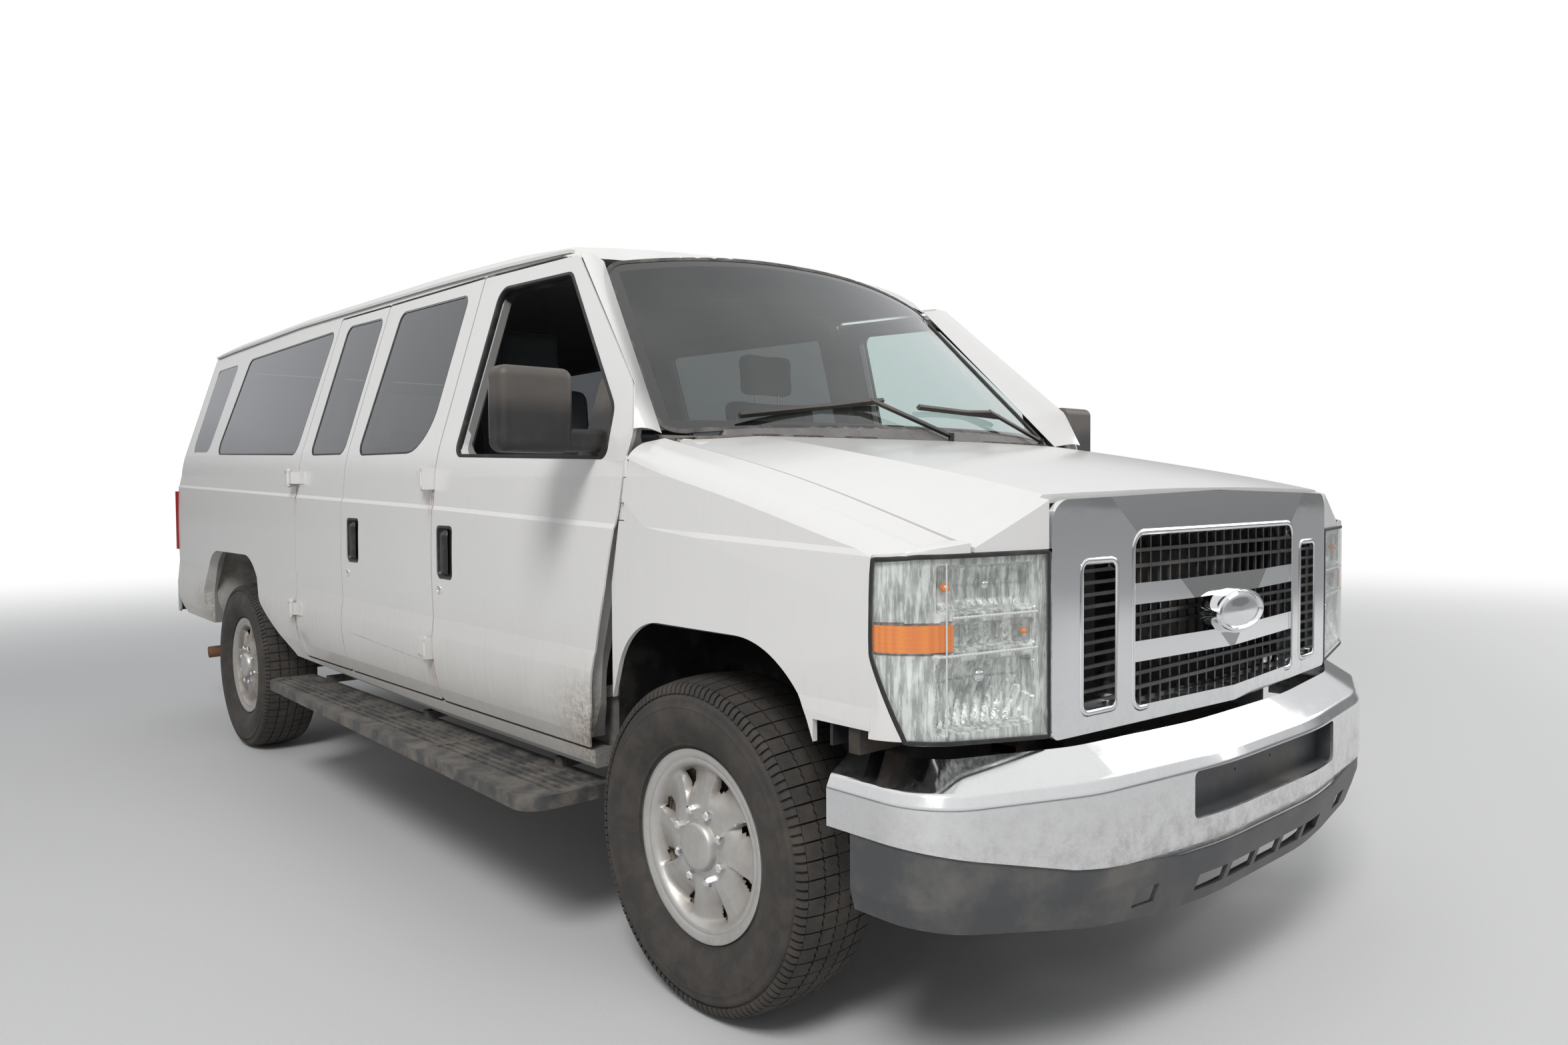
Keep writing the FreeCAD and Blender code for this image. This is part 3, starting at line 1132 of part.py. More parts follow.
def make_chassis():
    """Frame, engine, axles, knuckles, springs, exhaust and tank."""
    parts = {}
    rail = box(RAIL_X - RAIL_HALF, RAIL_X + RAIL_HALF, -900, REAR_END - 8, *RAIL_Z)
    rail = rail.common(inside_path(BUMPER_PATH + ((-988, 5200, 0), (988, 5200, 0)), BUMPER_WALL,
                                   400, 700))
    mounts = [rod(V(RAIL_X, y, RAIL_Z[1]), V(RAIL_X, y, FLOOR_Z - FLOOR_T), 30)
              for y in (480, 1450, 2500, 3600, 4380)]
    hangers = [box(RAIL_X, SPRING_X + SPRING_HALF, y - 18, y + 18, RAIL_Z[0] + 10, RAIL_Z[0] + 110)
               for y in (WHEELBASE - 640, WHEELBASE + 640)]
    drop = box(RAIL_X - RAIL_HALF, RAIL_X + RAIL_HALF, 848, 872, 400, RAIL_Z[0])
    bars = [box(0, RAIL_X, y, y + 70, low, high) for y, low, high in CROSSBARS]
    cradle = box(0, RAIL_X, -330, -240, 430, 480)
    cradle = fuse([cradle, box(RAIL_X - RAIL_HALF, RAIL_X, -330, -240, 430, RAIL_Z[0] + 10)])
    pad = box(RAIL_X - RAIL_HALF - 8, RAIL_X + RAIL_HALF + 8, LIFT_Y - 70, LIFT_Y + 70,
              RAIL_Z[0] - LIFT_T, RAIL_Z[0])
    half = fuse([rail, drop, cradle, pad] + mounts + hangers + bars)
    parts["frame"] = fuse(both(half))

    block = box(-270, 270, -420, 640, 480, 1050)
    gearbox = box(-150, 150, 640, 1330, 470, 650)
    parts["engine_block"] = fuse([block, gearbox])

    middle = ((-330, -BEAM_Y), (600, -BEAM_Y), (KINGPIN_X - 20, 0))
    rows = [(x, y - BEAM_HALF, 0 if x != 600 else 40) for x, y in middle]
    rows += [(x, y + BEAM_HALF, 0 if x != 600 else 40) for x, y in reversed(middle)]
    beam = prism("XY", rows, *BEAM_Z)
    groove = box(-300, 590, -BEAM_Y - 60, -BEAM_Y - 10, BEAM_Z[0] + 14, BEAM_Z[1] - 14)
    eye = Part.makeCylinder(EYE_R, BEAM_Z[1] - BEAM_Z[0], V(KINGPIN_X, 0, BEAM_Z[0]))
    pin = Part.makeCylinder(KINGPIN_R, BEAM_Z[1] - BEAM_Z[0] + 2 * EAR_T + 12,
                            V(KINGPIN_X, 0, BEAM_Z[0] - EAR_T - 6))
    coil = rod(V(RAIL_X, -BEAM_Y, BEAM_Z[1]), V(RAIL_X, -BEAM_Y, RAIL_Z[0]), 34)
    arm = rod(V(470, -BEAM_Y, 375), V(RAIL_X, 848, 432), 18)
    arm = arm.cut(box(300, 600, 847.9, 900, 300, 500))
    beam = fuse([beam.cut(groove), eye, pin, coil, arm])
    parts["front_axle"] = fuse(both(beam))

    ear_low = BEAM_Z[0] - 3 - EAR_T
    ear_high = BEAM_Z[1] + 3
    ears = []
    for z in (ear_low, ear_high):
        ear = fuse([Part.makeCylinder(30, EAR_T, V(KINGPIN_X, 0, z)),
                    box(KINGPIN_X, 866, -30, 30, z, z + EAR_T)])
        ears.append(ear.cut(Part.makeCylinder(KINGPIN_R + BORE_GAP, EAR_T + 2,
                                              V(KINGPIN_X, 0, z - 1))))
    web = box(848, 866, -42, 42, ear_low, ear_high + EAR_T)
    spindle = rod(V(866, 0, AXLE_Z), V(FRONT_TRACK / 2 + 68, 0, AXLE_Z), SPINDLE_R)
    knuckle = fuse(ears + [web, spindle])
    parts["knuckle_left"] = knuckle
    parts["knuckle_right"] = mirrored(knuckle)

    side = REAR_TRACK / 2
    tube = rod(V(DIFF_HALF - 5, WHEELBASE, AXLE_Z), V(side - 80, WHEELBASE, AXLE_Z), TUBE_R)
    plate = rod(V(side - 80, WHEELBASE, AXLE_Z), V(side - 62, WHEELBASE, AXLE_Z), 150)
    shaft = rod(V(side - 62, WHEELBASE, AXLE_Z), V(side + 68, WHEELBASE, AXLE_Z), SPINDLE_R)
    top = AXLE_Z + TUBE_R - 6
    reach = 640 - 18
    spring_rows = [(WHEELBASE - reach, top + 96), (WHEELBASE, top + 2), (WHEELBASE + reach, top + 96)]
    lower = [V(0, y, z) for y, z in spring_rows]
    upper = [V(0, y, z + SPRING_T) for y, z in spring_rows]
    leaf = Part.Wire([arc(*lower), line(lower[2], upper[2]), arc(*reversed(upper)),
                      line(upper[0], lower[0])])
    leaf.translate(V(SPRING_X - SPRING_HALF, 0, 0))
    leaf = Part.Face(leaf).extrude(V(2 * SPRING_HALF, 0, 0))
    pad = box(SPRING_X - SPRING_HALF, SPRING_X + SPRING_HALF, WHEELBASE - 50, WHEELBASE + 50,
              AXLE_Z, top + 10)
    half = fuse([tube, plate, shaft, leaf, pad])
    housing = revolve_x(((-DIFF_HALF, 0, 0), (-DIFF_HALF, 78, 0), (-70, DIFF_R, 0),
                         (70, DIFF_R, 0), (DIFF_HALF, 78, 0), (DIFF_HALF, 0, 0)))
    housing.translate(V(0, WHEELBASE, AXLE_Z))
    shaft = rod(V(0, 1330, 540), V(0, WHEELBASE - 60, AXLE_Z + 4), SHAFT_R)
    shaft = shaft.cut(box(-60, 60, 1200, 1330, 400, 700))
    parts["rear_axle"] = fuse(both(half) + [housing, shaft])
    return parts


def make_exhaust():
    """Pipe and silencer on the right of the shaft, with a tail that leaves to the right."""
    parts = {}
    route = ((-230, 660, 400), (-230, 2900, 400), (-230, 3300, 545), (-230, 3760, 545),
             (-250, 4120, 400), (-880, 4400, 340))
    points = [V(*row) for row in route]
    shapes = [rod(a, b, 30) for a, b in zip(points, points[1:])]
    shapes += [Part.makeSphere(30, p) for p in points[1:-1]]
    shapes.append(rod(V(-230, 1900, 400), V(-230, 2560, 400), 84))
    for y in (1950, 2480):
        shapes.append(box(-RAIL_X + RAIL_HALF, -215, y, y + 24, 490, 510))
        shapes.append(box(-245, -215, y, y + 24, 470, 510))
    pipe = fuse(shapes)
    bore = rod(points[-1], points[-1] + (points[-2] - points[-1]).normalize() * 120, 26)
    parts["exhaust"] = pipe.cut(bore)
    tank = box(70, RAIL_X - RAIL_HALF, 1560, 2260, 400, 650)
    parts["fuel_tank"] = tank.makeFillet(30, [e for e in tank.Edges if e.BoundBox.YLength > 600])
    return parts


def make_wheel():
    """One tyre and one wheel about the X axis, outer face to +X."""
    edges = []

    def add(points):
        edges.append(line(*points) if len(points) == 2 else arc(*points))

    half = TYRE_HALF
    outer = [[V(BEAD_HALF, BEAD_R), V(BEAD_HALF, BEAD_R + 16)],
             [V(BEAD_HALF, BEAD_R + 16), V(half, 288), V(half - 10, 345)],
             [V(half - 10, 345), V(half - 15, 366), V(TREAD_HALF, TYRE_R - 9)]]
    inner = [[V(BEAD_HALF, BEAD_R), V(BEAD_HALF - 14, BEAD_R)],
             [V(BEAD_HALF - 14, BEAD_R), V(half - 14, 288), V(TREAD_HALF - 6, TYRE_R - 26)]]
    for group in (outer, inner):
        for points in group:
            add(points)
            add([V(-p.x, p.y) for p in points])
    add([V(TREAD_HALF, TYRE_R - 9), V(0, TYRE_R), V(-TREAD_HALF, TYRE_R - 9)])
    add([V(TREAD_HALF - 6, TYRE_R - 26), V(-TREAD_HALF + 6, TYRE_R - 26)])
    wire = Part.Wire(Part.__sortEdges__(edges))
    tyre = Part.Face(wire).revolve(V(0, 0, 0), V(1, 0, 0), 360)

    seat = BEAD_R
    rim = revolve_x((
        (93, FLANGE_R, 4), (BEAD_HALF, FLANGE_R, 0), (BEAD_HALF, seat, 0), (60, seat, 0),
        (44, seat - 24, 0), (-36, seat - 24, 0), (-60, seat, 0), (-BEAD_HALF, seat, 0),
        (-BEAD_HALF, FLANGE_R, 0), (-93, FLANGE_R, 4), (-93, FLANGE_R - 14, 0),
        (-86, seat - 8, 0), (-60, seat - 8, 0), (-36, seat - 31, 0), (44, seat - 31, 0),
        (60, seat - 8, 0), (86, seat - 8, 0), (93, FLANGE_R - 14, 0)))
    bore = SPINDLE_R + BORE_GAP
    disc = revolve_x(((12, bore, 0), (12, HUB_R + 60, 0), (36, seat - 31, 0),
                      (44, seat - 31, 0), (22, HUB_R + 58, 0), (22, HUB_R, 0),
                      (70, HUB_R - 8, 0), (70, bore, 0)))
    cover = revolve_x(((72, seat - 8, 0), (86, seat - 8, 0), (88, 180, 10), (78, 108, 12),
                       (90, 62, 12), (104, 46, 14), (106, 0, 0), (96, 0, 0), (84, 52, 6),
                       (70, 70, 0), (70, 108, 6), (78, 180, 0)))
    holes = []
    for i in range(SPOKES):
        turn = 360.0 / SPOKES * i
        hole = prism("XY", ((-14, 112, 10), (24, 118, 8), (46, 172, 14), (-6, 178, 12)), 60, 110)
        hole = hole.copy()
        hole.rotate(V(0, 0, 0), V(0, 1, 0), 90)
        hole.rotate(V(0, 0, 0), V(1, 0, 0), 90 + turn)
        holes.append(hole)
    cover = cover.cut(fuse(holes))
    caps = []
    for i in range(LUGS):
        angle = 2 * math.pi * (i + 0.5) / LUGS
        y, z = LUG_CIRCLE_R * math.cos(angle), LUG_CIRCLE_R * math.sin(angle)
        caps.append(rod(V(66, y, z), V(98, y, z), LUG_CAP_R))
    wheel = fuse([rim, disc, cover] + caps)
    return tyre, wheel


def make_wheels():
    parts = {}
    tyre, wheel = make_wheel()
    for place, half_track, y in (("front", FRONT_TRACK / 2, 0), ("rear", REAR_TRACK / 2, WHEELBASE)):
        for name, shape in (("tyre", tyre), ("wheel", wheel)):
            left = shape.copy()
            left.translate(V(half_track, y, AXLE_Z))
            parts[name + "_" + place + "_left"] = left
            parts[name + "_" + place + "_right"] = mirrored(left)
    return parts


def make_boards():
    plate = prism("XY", ((905, BOARD_FRONT, 0), (1165, BOARD_FRONT, 70), (1092, 2690, 60),
                         (905, 2690, 0)), *BOARD_Z)
    sections = ((460, 1120), (1150, 1830), (1860, 2640))
    grooves = []
    for y0, y1 in sections:
        for k in range(6):
            x = 935 + k * 26
            grooves.append(box(x, x + 14, y0, y1, BOARD_Z[1] - RIB, BOARD_Z[1] + 5))
    outer = prism("XY", ((930, 450, 0), (1140, 450, 50), (1068, 2665, 40), (930, 2665, 0)),
                  BOARD_Z[1] - RIB - 1, BOARD_Z[1] + 5)
    grooves = common(fuse(grooves), outer)
    under = prism("XY", ((917, 436, 0), (1150, 436, 60), (1078, 2678, 50), (917, 2678, 0)),
                  BOARD_Z[0], BOARD_Z[1] - 10)
    arms = [box(RAIL_X - 20, 935, y, y + 40, BOARD_Z[1], RAIL_Z[0]) for y in (640, 1500, 2420)]
    legs = [box(915, 935, y, y + 40, BOARD_Z[1] - 12, BOARD_Z[1] + 5) for y in (640, 1500, 2420)]
    board = fuse([plate.cut(under).cut(grooves)] + arms + legs)
    return {"running_boards": Part.makeCompound(both(board))}


def make_mirrors(front):
    head = box(1052, 1252, 352, 432, 1292, 1498)
    head = head.makeFillet(26, head.Edges)
    arm = box(940, 1080, 356, 424, 1296, 1352)
    arm = arm.makeFillet(14, [e for e in arm.Edges if e.BoundBox.XLength > 100])
    sail = common(sail_prism(), front.outer.cut(side_hull(16, 16, NOSE_START, B_PILLAR)))
    mirror = fuse([head, arm.cut(side_hull(10, 10, NOSE_START, B_PILLAR)), sail])
    return {"mirror_left": mirror, "mirror_right": mirrored(mirror)}


def make_cabin():
    """Dashboard, steering wheel and seats."""
    parts = {}
    dash = prism("YZ", ((CAB_FRONT, 960, 0), (CAB_FRONT, 1342, 10), (520, 1345, 40),
                        (640, 1270, 50), (655, 1120, 40), (560, 960, 60)), -900, 900)
    dash = dash.cut(box(-TUNNEL_HALF - 31, TUNNEL_HALF + 31, 300, 1000, 900, TUNNEL_TOP + 31))
    parts["dashboard"] = dash
    hub = V(540, 770, 1215)
    tilt = V(0, 0.75, 0.66).normalize()
    ring = Part.makeTorus(188, 14, hub, tilt)
    column = rod(hub - tilt * 260, hub, 26)
    spokes = [rod(hub - V(190, 0, 0), hub + V(190, 0, 0), 12)]
    spokes.append(rod(hub, hub + V(0, 0.66, -0.75).normalize() * 190, 12))
    pad = rod(hub - tilt * 18, hub + tilt * 22, 70)
    parts["steering_wheel"] = fuse([ring, column, pad] + spokes).cut(dash)

    seats, bases = [], []
    lift = 0.3
    for x in (-SEAT_X, SEAT_X):
        bases.append(box(x - 160, x + 160, 900, 1280, FLOOR_Z, 880))
        cushion = prism("YZ", ((850, 880 + lift, 20), (1380, 880 + lift, 20), (1380, 1030, 20),
                               (850, 1030, 50)), x - 220, x + 220)
        back = prism("YZ", ((1300, 1000, 30), (1430, 1000, 50), (1530, 1560, 50),
                            (1420, 1560, 40)), x - 218, x + 218)
        head = prism("YZ", ((1440, 1590, 20), (1535, 1590, 30), (1545, 1760, 40),
                            (1455, 1760, 40)), x - 125, x + 125)
        stalks = [box(x + k - 6, x + k + 6, 1478, 1490, 1500, 1640) for k in (-64, 64)]
        seats.append(fuse([cushion, back, head] + stalks))
    parts["front_seats"] = Part.makeCompound(seats)
    benches = []
    for y, x0, x1 in BENCHES:
        for x in (x0 + 220, x1 - 220):
            bases.append(box(x - 30, x + 30, y + 60, y + 400, FLOOR_Z, 900))
        cushion = prism("YZ", ((y, 900 + lift, 20), (y + 500, 900 + lift, 20),
                               (y + 500, 1040, 20), (y, 1040, 45)), x0, x1)
        back = prism("YZ", ((y + 380, 1010, 30), (y + 500, 1010, 40), (y + 590, 1500, 45),
                            (y + 490, 1500, 40)), x0, x1)
        benches.append(fuse([cushion, back]))
    parts["rear_benches"] = Part.makeCompound(benches)
    parts["seat_bases"] = Part.makeCompound(bases)
    return parts


def glass_point(x, s, out):
    """A point that stands off the windshield's outer face."""
    radius = FOOT_BEND_R + (HEAD_BEND_R - FOOT_BEND_R) * s / SLOPE_LENGTH
    fall = radius - math.sqrt(radius * radius - x * x)
    return on_glass(x, s, fall - out)


WIPER_POST_R = 9.0
# Wipers: pivot, then across and up the glass for the elbow and the blade's two ends
WIPERS = (
    ((60, 86, 1352), (-180, 120), (-640, 108), (-120, 132)),
    ((640, 170, 1352), (400, 128), (20, 112), (470, 132)),
)


def bar(start, end, width, depth, past=0.0):
    """A square-edged bar between two points near the glass, its depth across the glass."""
    along = (end - start).normalize()
    out = (INTO * -1 + along * INTO.dot(along)).normalize()
    across = along.cross(out)
    long = (end - start).Length + 2 * past
    solid = box(-past, long - past, -width / 2, width / 2, -depth / 2, depth / 2)
    return solid.transformGeometry(FreeCAD.Matrix(
        along.x, across.x, out.x, start.x, along.y, across.y, out.y, start.y,
        along.z, across.z, out.z, start.z, 0, 0, 0, 1))


def make_wipers(cowl, windshield):
    wipers = []
    for pivot, elbow, tip0, tip1 in WIPERS:
        pivot = V(*pivot)
        post = rod(pivot - V(0, 0, 24), pivot + V(0, 0, 9), WIPER_POST_R)
        bend = glass_point(elbow[0], elbow[1], 24)
        low, high = glass_point(tip0[0], tip0[1], 13), glass_point(tip1[0], tip1[1], 13)
        shapes = [post, bar(pivot, bend, 15, 9, 5), bar(low, high, 11, 14),
                  bar(bend, (low + high) * 0.5, 10, 8, 5)]
        wipers.append(biggest(fuse(shapes).cut(cowl).cut(windshield)))
    return {"wipers": Part.makeCompound(wipers)}


def export(parts):
    os.makedirs("parts", exist_ok=True)
    middle = (FRONT_END + REAR_END) / 2
    for name, shape in parts.items():
        placed = shape.copy()
        placed.translate(V(0, -middle, 0))
        placed.exportStep("parts/" + name + ".step")


def settle(parts):
    """Pieces of the fixed body that run up against a neighbour end on its surface."""
    post, wall_side = b_pillar()
    parts["floor_pan"] = parts["floor_pan"].cut(Part.makeCompound(both(post) + [wall_side]))
    fenders = Part.makeCompound([parts["fender_left"], parts["fender_right"]])
    parts["wheel_liners"] = parts["wheel_liners"].cut(fenders)
    parts["mirror_left"] = parts["mirror_left"].cut(parts["front_door_left"])
    parts["mirror_right"] = parts["mirror_right"].cut(parts["front_door_right"])
    parts["frame"] = parts["frame"].cut(parts["front_bumper"])
    parts["radiator"] = parts["radiator"].cut(parts["grille_surround"]).cut(fenders)


def main():
    parts, front = make_body()
    parts.update(make_nose(front))
    parts.update(make_front(front))
    parts.update(make_grille())
    parts.update(make_lamps(front))
    parts.update(make_bumpers())
    parts.update(make_tail_lamps(parts["rear_frame"]))
    parts.update(make_floor())
    parts.update(make_chassis())
    parts.update(make_exhaust())
    parts.update(make_wheels())
    parts.update(make_boards())
    parts.update(make_mirrors(front))
    parts.update(make_cabin())
    parts.update(make_wipers(parts["cowl_panel"], parts["windshield"]))
    settle(parts)
    export(parts)
    for name, shape in sorted(parts.items()):
        volumes = [round(solid.Volume / 1e6, 2) for solid in shape.Solids]
        print(name, shape.isValid(), volumes)


main()
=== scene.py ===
# %% [markdown]
# # Dressing a passenger minibus
# The solid model already holds every panel, door, wheel and seat of the van in its true
# size. This lesson gives those pieces their finishes, and adds what a solid model leaves
# out: road tread, seals, lamp insides, window frames, padded seats and small fittings.
# Lengths are in metres. The van faces -Y, its driver sits at +X and Z points up.

# %% Frame
import math

import bmesh
import bpy
from mathutils import Matrix, Vector, noise
from mathutils.bvhtree import BVHTree


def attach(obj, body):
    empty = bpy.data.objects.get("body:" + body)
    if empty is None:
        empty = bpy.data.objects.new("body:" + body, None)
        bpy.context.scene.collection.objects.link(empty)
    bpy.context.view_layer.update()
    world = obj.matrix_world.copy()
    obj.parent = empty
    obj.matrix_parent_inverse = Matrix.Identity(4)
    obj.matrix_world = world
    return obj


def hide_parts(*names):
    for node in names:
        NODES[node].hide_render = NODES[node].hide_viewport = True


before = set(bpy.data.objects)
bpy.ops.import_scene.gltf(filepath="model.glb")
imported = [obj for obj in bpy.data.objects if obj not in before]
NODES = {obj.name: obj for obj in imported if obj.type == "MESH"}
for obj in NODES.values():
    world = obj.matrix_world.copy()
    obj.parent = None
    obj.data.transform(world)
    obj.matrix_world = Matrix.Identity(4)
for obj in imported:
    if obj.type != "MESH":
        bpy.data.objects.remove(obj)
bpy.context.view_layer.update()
AXLE = -1.871                 # station of the front axle along Y
print("frame of", len(NODES), "nodes")


def at(x, y, z):
    """A point from millimetres across, behind the front axle and above the ground."""
    return Vector((x / 1000, y / 1000 + AXLE, z / 1000))


def circle(parts):
    """Cosine and sine at equal steps of one turn."""
    angles = [2 * math.pi * i / parts for i in range(parts)]
    return [(math.cos(a), math.sin(a)) for a in angles]


# %% [markdown]
# ## Writing a finish as sums
# A finish is a small tree of nodes. Wiring each node by hand hides what the finish does,
# so one class wraps a socket and lets a finish be written as sums: `1 - dirt * 0.4` adds
# its own Math nodes. A second class owns the tree and adds any other kind of node.

# %% Socket sums
class Link:
    """An output socket that can be added, multiplied and compared."""

    def __init__(self, finish, socket):
        self.finish, self.socket = finish, socket

    def __add__(self, other):
        return self.finish.math("ADD", self, other)

    def __radd__(self, other):
        return self.finish.math("ADD", other, self)

    def __sub__(self, other):
        return self.finish.math("SUBTRACT", self, other)

    def __rsub__(self, other):
        return self.finish.math("SUBTRACT", other, self)

    def __mul__(self, other):
        return self.finish.math("MULTIPLY", self, other)

    def __rmul__(self, other):
        return self.finish.math("MULTIPLY", other, self)

    def __truediv__(self, other):
        return self.finish.math("DIVIDE", self, other)

    def __abs__(self):
        return self.finish.math("ABSOLUTE", self)

    def most(self, other):
        return self.finish.math("MAXIMUM", self, other)

    def least(self, other):
        return self.finish.math("MINIMUM", self, other)

    def sine(self):
        return self.finish.math("SINE", self)

    def ramp(self, low, high):
        """0 at low and 1 at high, with soft ends; low may be the larger."""
        return self.finish.node("ShaderNodeMapRange", {"interpolation_type": "SMOOTHSTEP"},
                                {"Value": self, "From Min": low, "From Max": high})

    def bell(self, centre, width):
        """1 at centre, falling away over a width to either side."""
        off = (self - centre) / width
        return self.finish.math("EXPONENT", off * off * -1.0)


class Finish:
    """A material whose nodes are added by what they do."""

    def __init__(self, name):
        self.material = bpy.data.materials.new(name)
        self.material.use_nodes = True
        self.tree = self.material.node_tree
        self.tree.nodes.clear()
        self.place = self.node("ShaderNodeTexCoord", out=3)
        self.x, self.y, self.z = (self.node("ShaderNodeSeparateXYZ", {}, {0: self.place}, axis)
                                  for axis in range(3))

    def node(self, kind, settings=None, inputs=None, out=0):
        made = self.tree.nodes.new(kind)
        for key, value in (settings or {}).items():
            setattr(made, key, value)
        for key, value in (inputs or {}).items():
            if isinstance(value, Link):
                self.tree.links.new(value.socket, made.inputs[key])
            elif isinstance(value, tuple) and len(value) == 3 and made.inputs[key].type == "RGBA":
                made.inputs[key].default_value = value + (1.0,)
            else:
                made.inputs[key].default_value = value
        return Link(self, made.outputs[out])

    def math(self, operation, *values):
        return self.node("ShaderNodeMath", {"operation": operation}, dict(enumerate(values)))

    def noise(self, scale, detail=3.0, rough=0.55, stretch=None):
        """Grain between 0 and 1; stretch multiplies the place along each axis."""
        place = self.place
        if stretch:
            place = self.node("ShaderNodeVectorMath", {"operation": "MULTIPLY"},
                              {0: place, 1: stretch})
        return self.node("ShaderNodeTexNoise", {}, {"Vector": place, "Scale": scale,
                                                    "Detail": detail, "Roughness": rough})

    def blend(self, factor, first, second):
        """A colour between two."""
        return self.node("ShaderNodeMix", {"data_type": "RGBA"},
                         {0: factor, 6: first, 7: second}, 2)

    def bump(self, height, distance):
        return self.node("ShaderNodeBump", {}, {"Height": height, "Distance": distance,
                                                "Strength": 1.0})

    def shader(self, colour, roughness, metallic=0.0, normal=None, **more):
        """The main shader, from values or links."""
        sockets = {"Base Color": colour, "Roughness": roughness, "Metallic": metallic}
        if normal:
            sockets["Normal"] = normal
        sockets.update({key.replace("_", " "): value for key, value in more.items()})
        return self.node("ShaderNodeBsdfPrincipled", {}, sockets)

    def done(self, surface):
        end = self.tree.nodes.new("ShaderNodeOutputMaterial")
        self.tree.links.new(surface.socket, end.inputs["Surface"])
        return self.material


FINISH = {}
print("finish tools ready")

# %% [markdown]
# ## White paint that has worked
# The body is sprayed white over steel and has been washed by machine for years. Its gloss
# is uneven, road film thickens towards the sills, mud has dried behind the front wheels,
# and rust runs below the outside hinges. All of it depends on the place on the body, so
# the finish reads the object's own coordinates. The inner faces of doors and walls carry
# grey trim, which a second colour gives them by their depth under the outer surface.

# %% White paint
HINGES = ((1316, 672), (1316, 1205), (2585, 698), (2585, 1222))     # station, lower end
FOOT, HEAD = at(0, 110, 1352), at(0, 665, 1925)     # ends of the windshield's middle line
SLOPE = (HEAD - FOOT).normalized()
PANE_HALF, PANE_FROM, PANE_TAPER = 0.848, 0.112, 0.2077     # half width at a height, narrowing
LINING_DEPTH = 0.034          # how far under the side's outer face the trim begins
WINDOW_FLANGE = 0.014         # how much nearer to the face it begins beside the windows
REAR_SKIN = 2.652             # station at which the rear doors' outer panels begin


def white_paint(name, lining=True):
    f = Finish(name)
    broad = f.noise(1.7, 4.0, 0.6)
    fine = f.noise(46.0, 5.0, 0.7)
    spots = f.noise(150.0, 2.0, 0.5)
    wash = f.noise(9.0, 4.0, 0.6, (1.0, 5.0, 0.5))
    low = f.z.ramp(0.92, 0.50)
    low_brown = low * (broad * 0.7 + wash * 0.5) * 0.62 + wash.ramp(0.5, 0.8) * 0.05
    front = f.y.bell(AXLE + 0.40, 0.13) * f.z.ramp(0.80, 0.56)
    rear = f.y.bell(AXLE + 3.96, 0.16) * f.z.ramp(0.86, 0.60)
    arch = f.y.bell(AXLE + 3.02, 0.12) * f.z.ramp(0.80, 0.60)
    mud = (front + rear * 0.6 + arch * 0.5) * (fine * 1.6 + spots * 0.5 - 0.55).ramp(0.2, 0.75)
    mud = mud.least(1.0)
    rust = None
    for station, low_end in HINGES:
        base = low_end / 1000
        run = (f.y.bell(station / 1000 + AXLE, 0.016) * f.z.ramp(base + 0.01, base - 0.004)
               * f.z.ramp(base - 0.13, base - 0.02))
        rust = run if rust is None else rust + run
    rust = rust * f.x.ramp(-0.5, -0.7) * f.noise(60.0, 4.0, 0.7, (1.0, 3.0, 0.4)).ramp(0.42, 0.62)
    line = f.z - (f.y * 0.05 + 0.683)
    scratch = (f.math("COMPARE", line, 0.0, 0.0012) * f.y.ramp(-0.52, -0.45)
               * f.y.ramp(0.18, 0.05) * fine.ramp(0.4, 0.5))
    white = f.blend(broad * 0.5, (0.735, 0.722, 0.700), (0.69, 0.68, 0.662))
    tone = f.blend(low_brown, white, (0.36, 0.315, 0.26))
    tone = f.blend(mud, tone, (0.27, 0.215, 0.16))
    tone = f.blend(rust * 0.8, tone, (0.25, 0.085, 0.03))
    tone = f.blend(scratch * 0.6, tone, (0.12, 0.11, 0.10))
    rough = 0.26 + low_brown * 0.5 + mud * 0.5 + wash * 0.08
    coat = (1 - low_brown - mud).most(0.0) * 0.6
    if lining:
        skin = (0.970 - (f.z - 1.346) * 0.305).least(0.995) - LINING_DEPTH
        skin = skin + f.z.ramp(1.37, 1.39) * WINDOW_FLANGE
        skin = skin - (f.y - 2.52).ramp(0.0, 0.16) * 0.2
        ahead = (f.z - FOOT.z) * SLOPE.z - (f.y - FOOT.y) * SLOPE.y
        inner = (skin - abs(f.x)).ramp(0.0, 0.002) * ahead.ramp(-0.040, -0.046)
        inner = inner * f.y.ramp(REAR_SKIN, REAR_SKIN - 0.006)
        grain = f.noise(420.0, 2.0, 0.5)
        tone = f.blend(inner, tone, f.blend(grain, (0.20, 0.195, 0.185), (0.26, 0.25, 0.24)))
        rough = rough + inner * 0.35
        coat = coat * (1 - inner)
    dent = f.y.bell(0.66, 0.05) * f.z.bell(0.60, 0.035) * f.x.ramp(-0.5, -0.7)
    normal = f.bump(f.noise(190.0, 1.0, 0.5) * 0.12 + dent * -14.0 + mud * fine * 2.5, 0.0006)
    return f.done(f.shader(tone, rough.least(0.85), 0.0, normal, Coat_Weight=coat,
                           Coat_Roughness=0.12))


FINISH["white_paint"] = white_paint("white_paint")
FINISH["plain_paint"] = white_paint("plain_paint", lining=False)
print("paint made")

# %% [markdown]
# ## Roof paint and headliner
# The roof is one panel: sun-baked white above and a soft pale lining below. Which side of
# the sheet is seen follows from its normal, so one finish serves both.

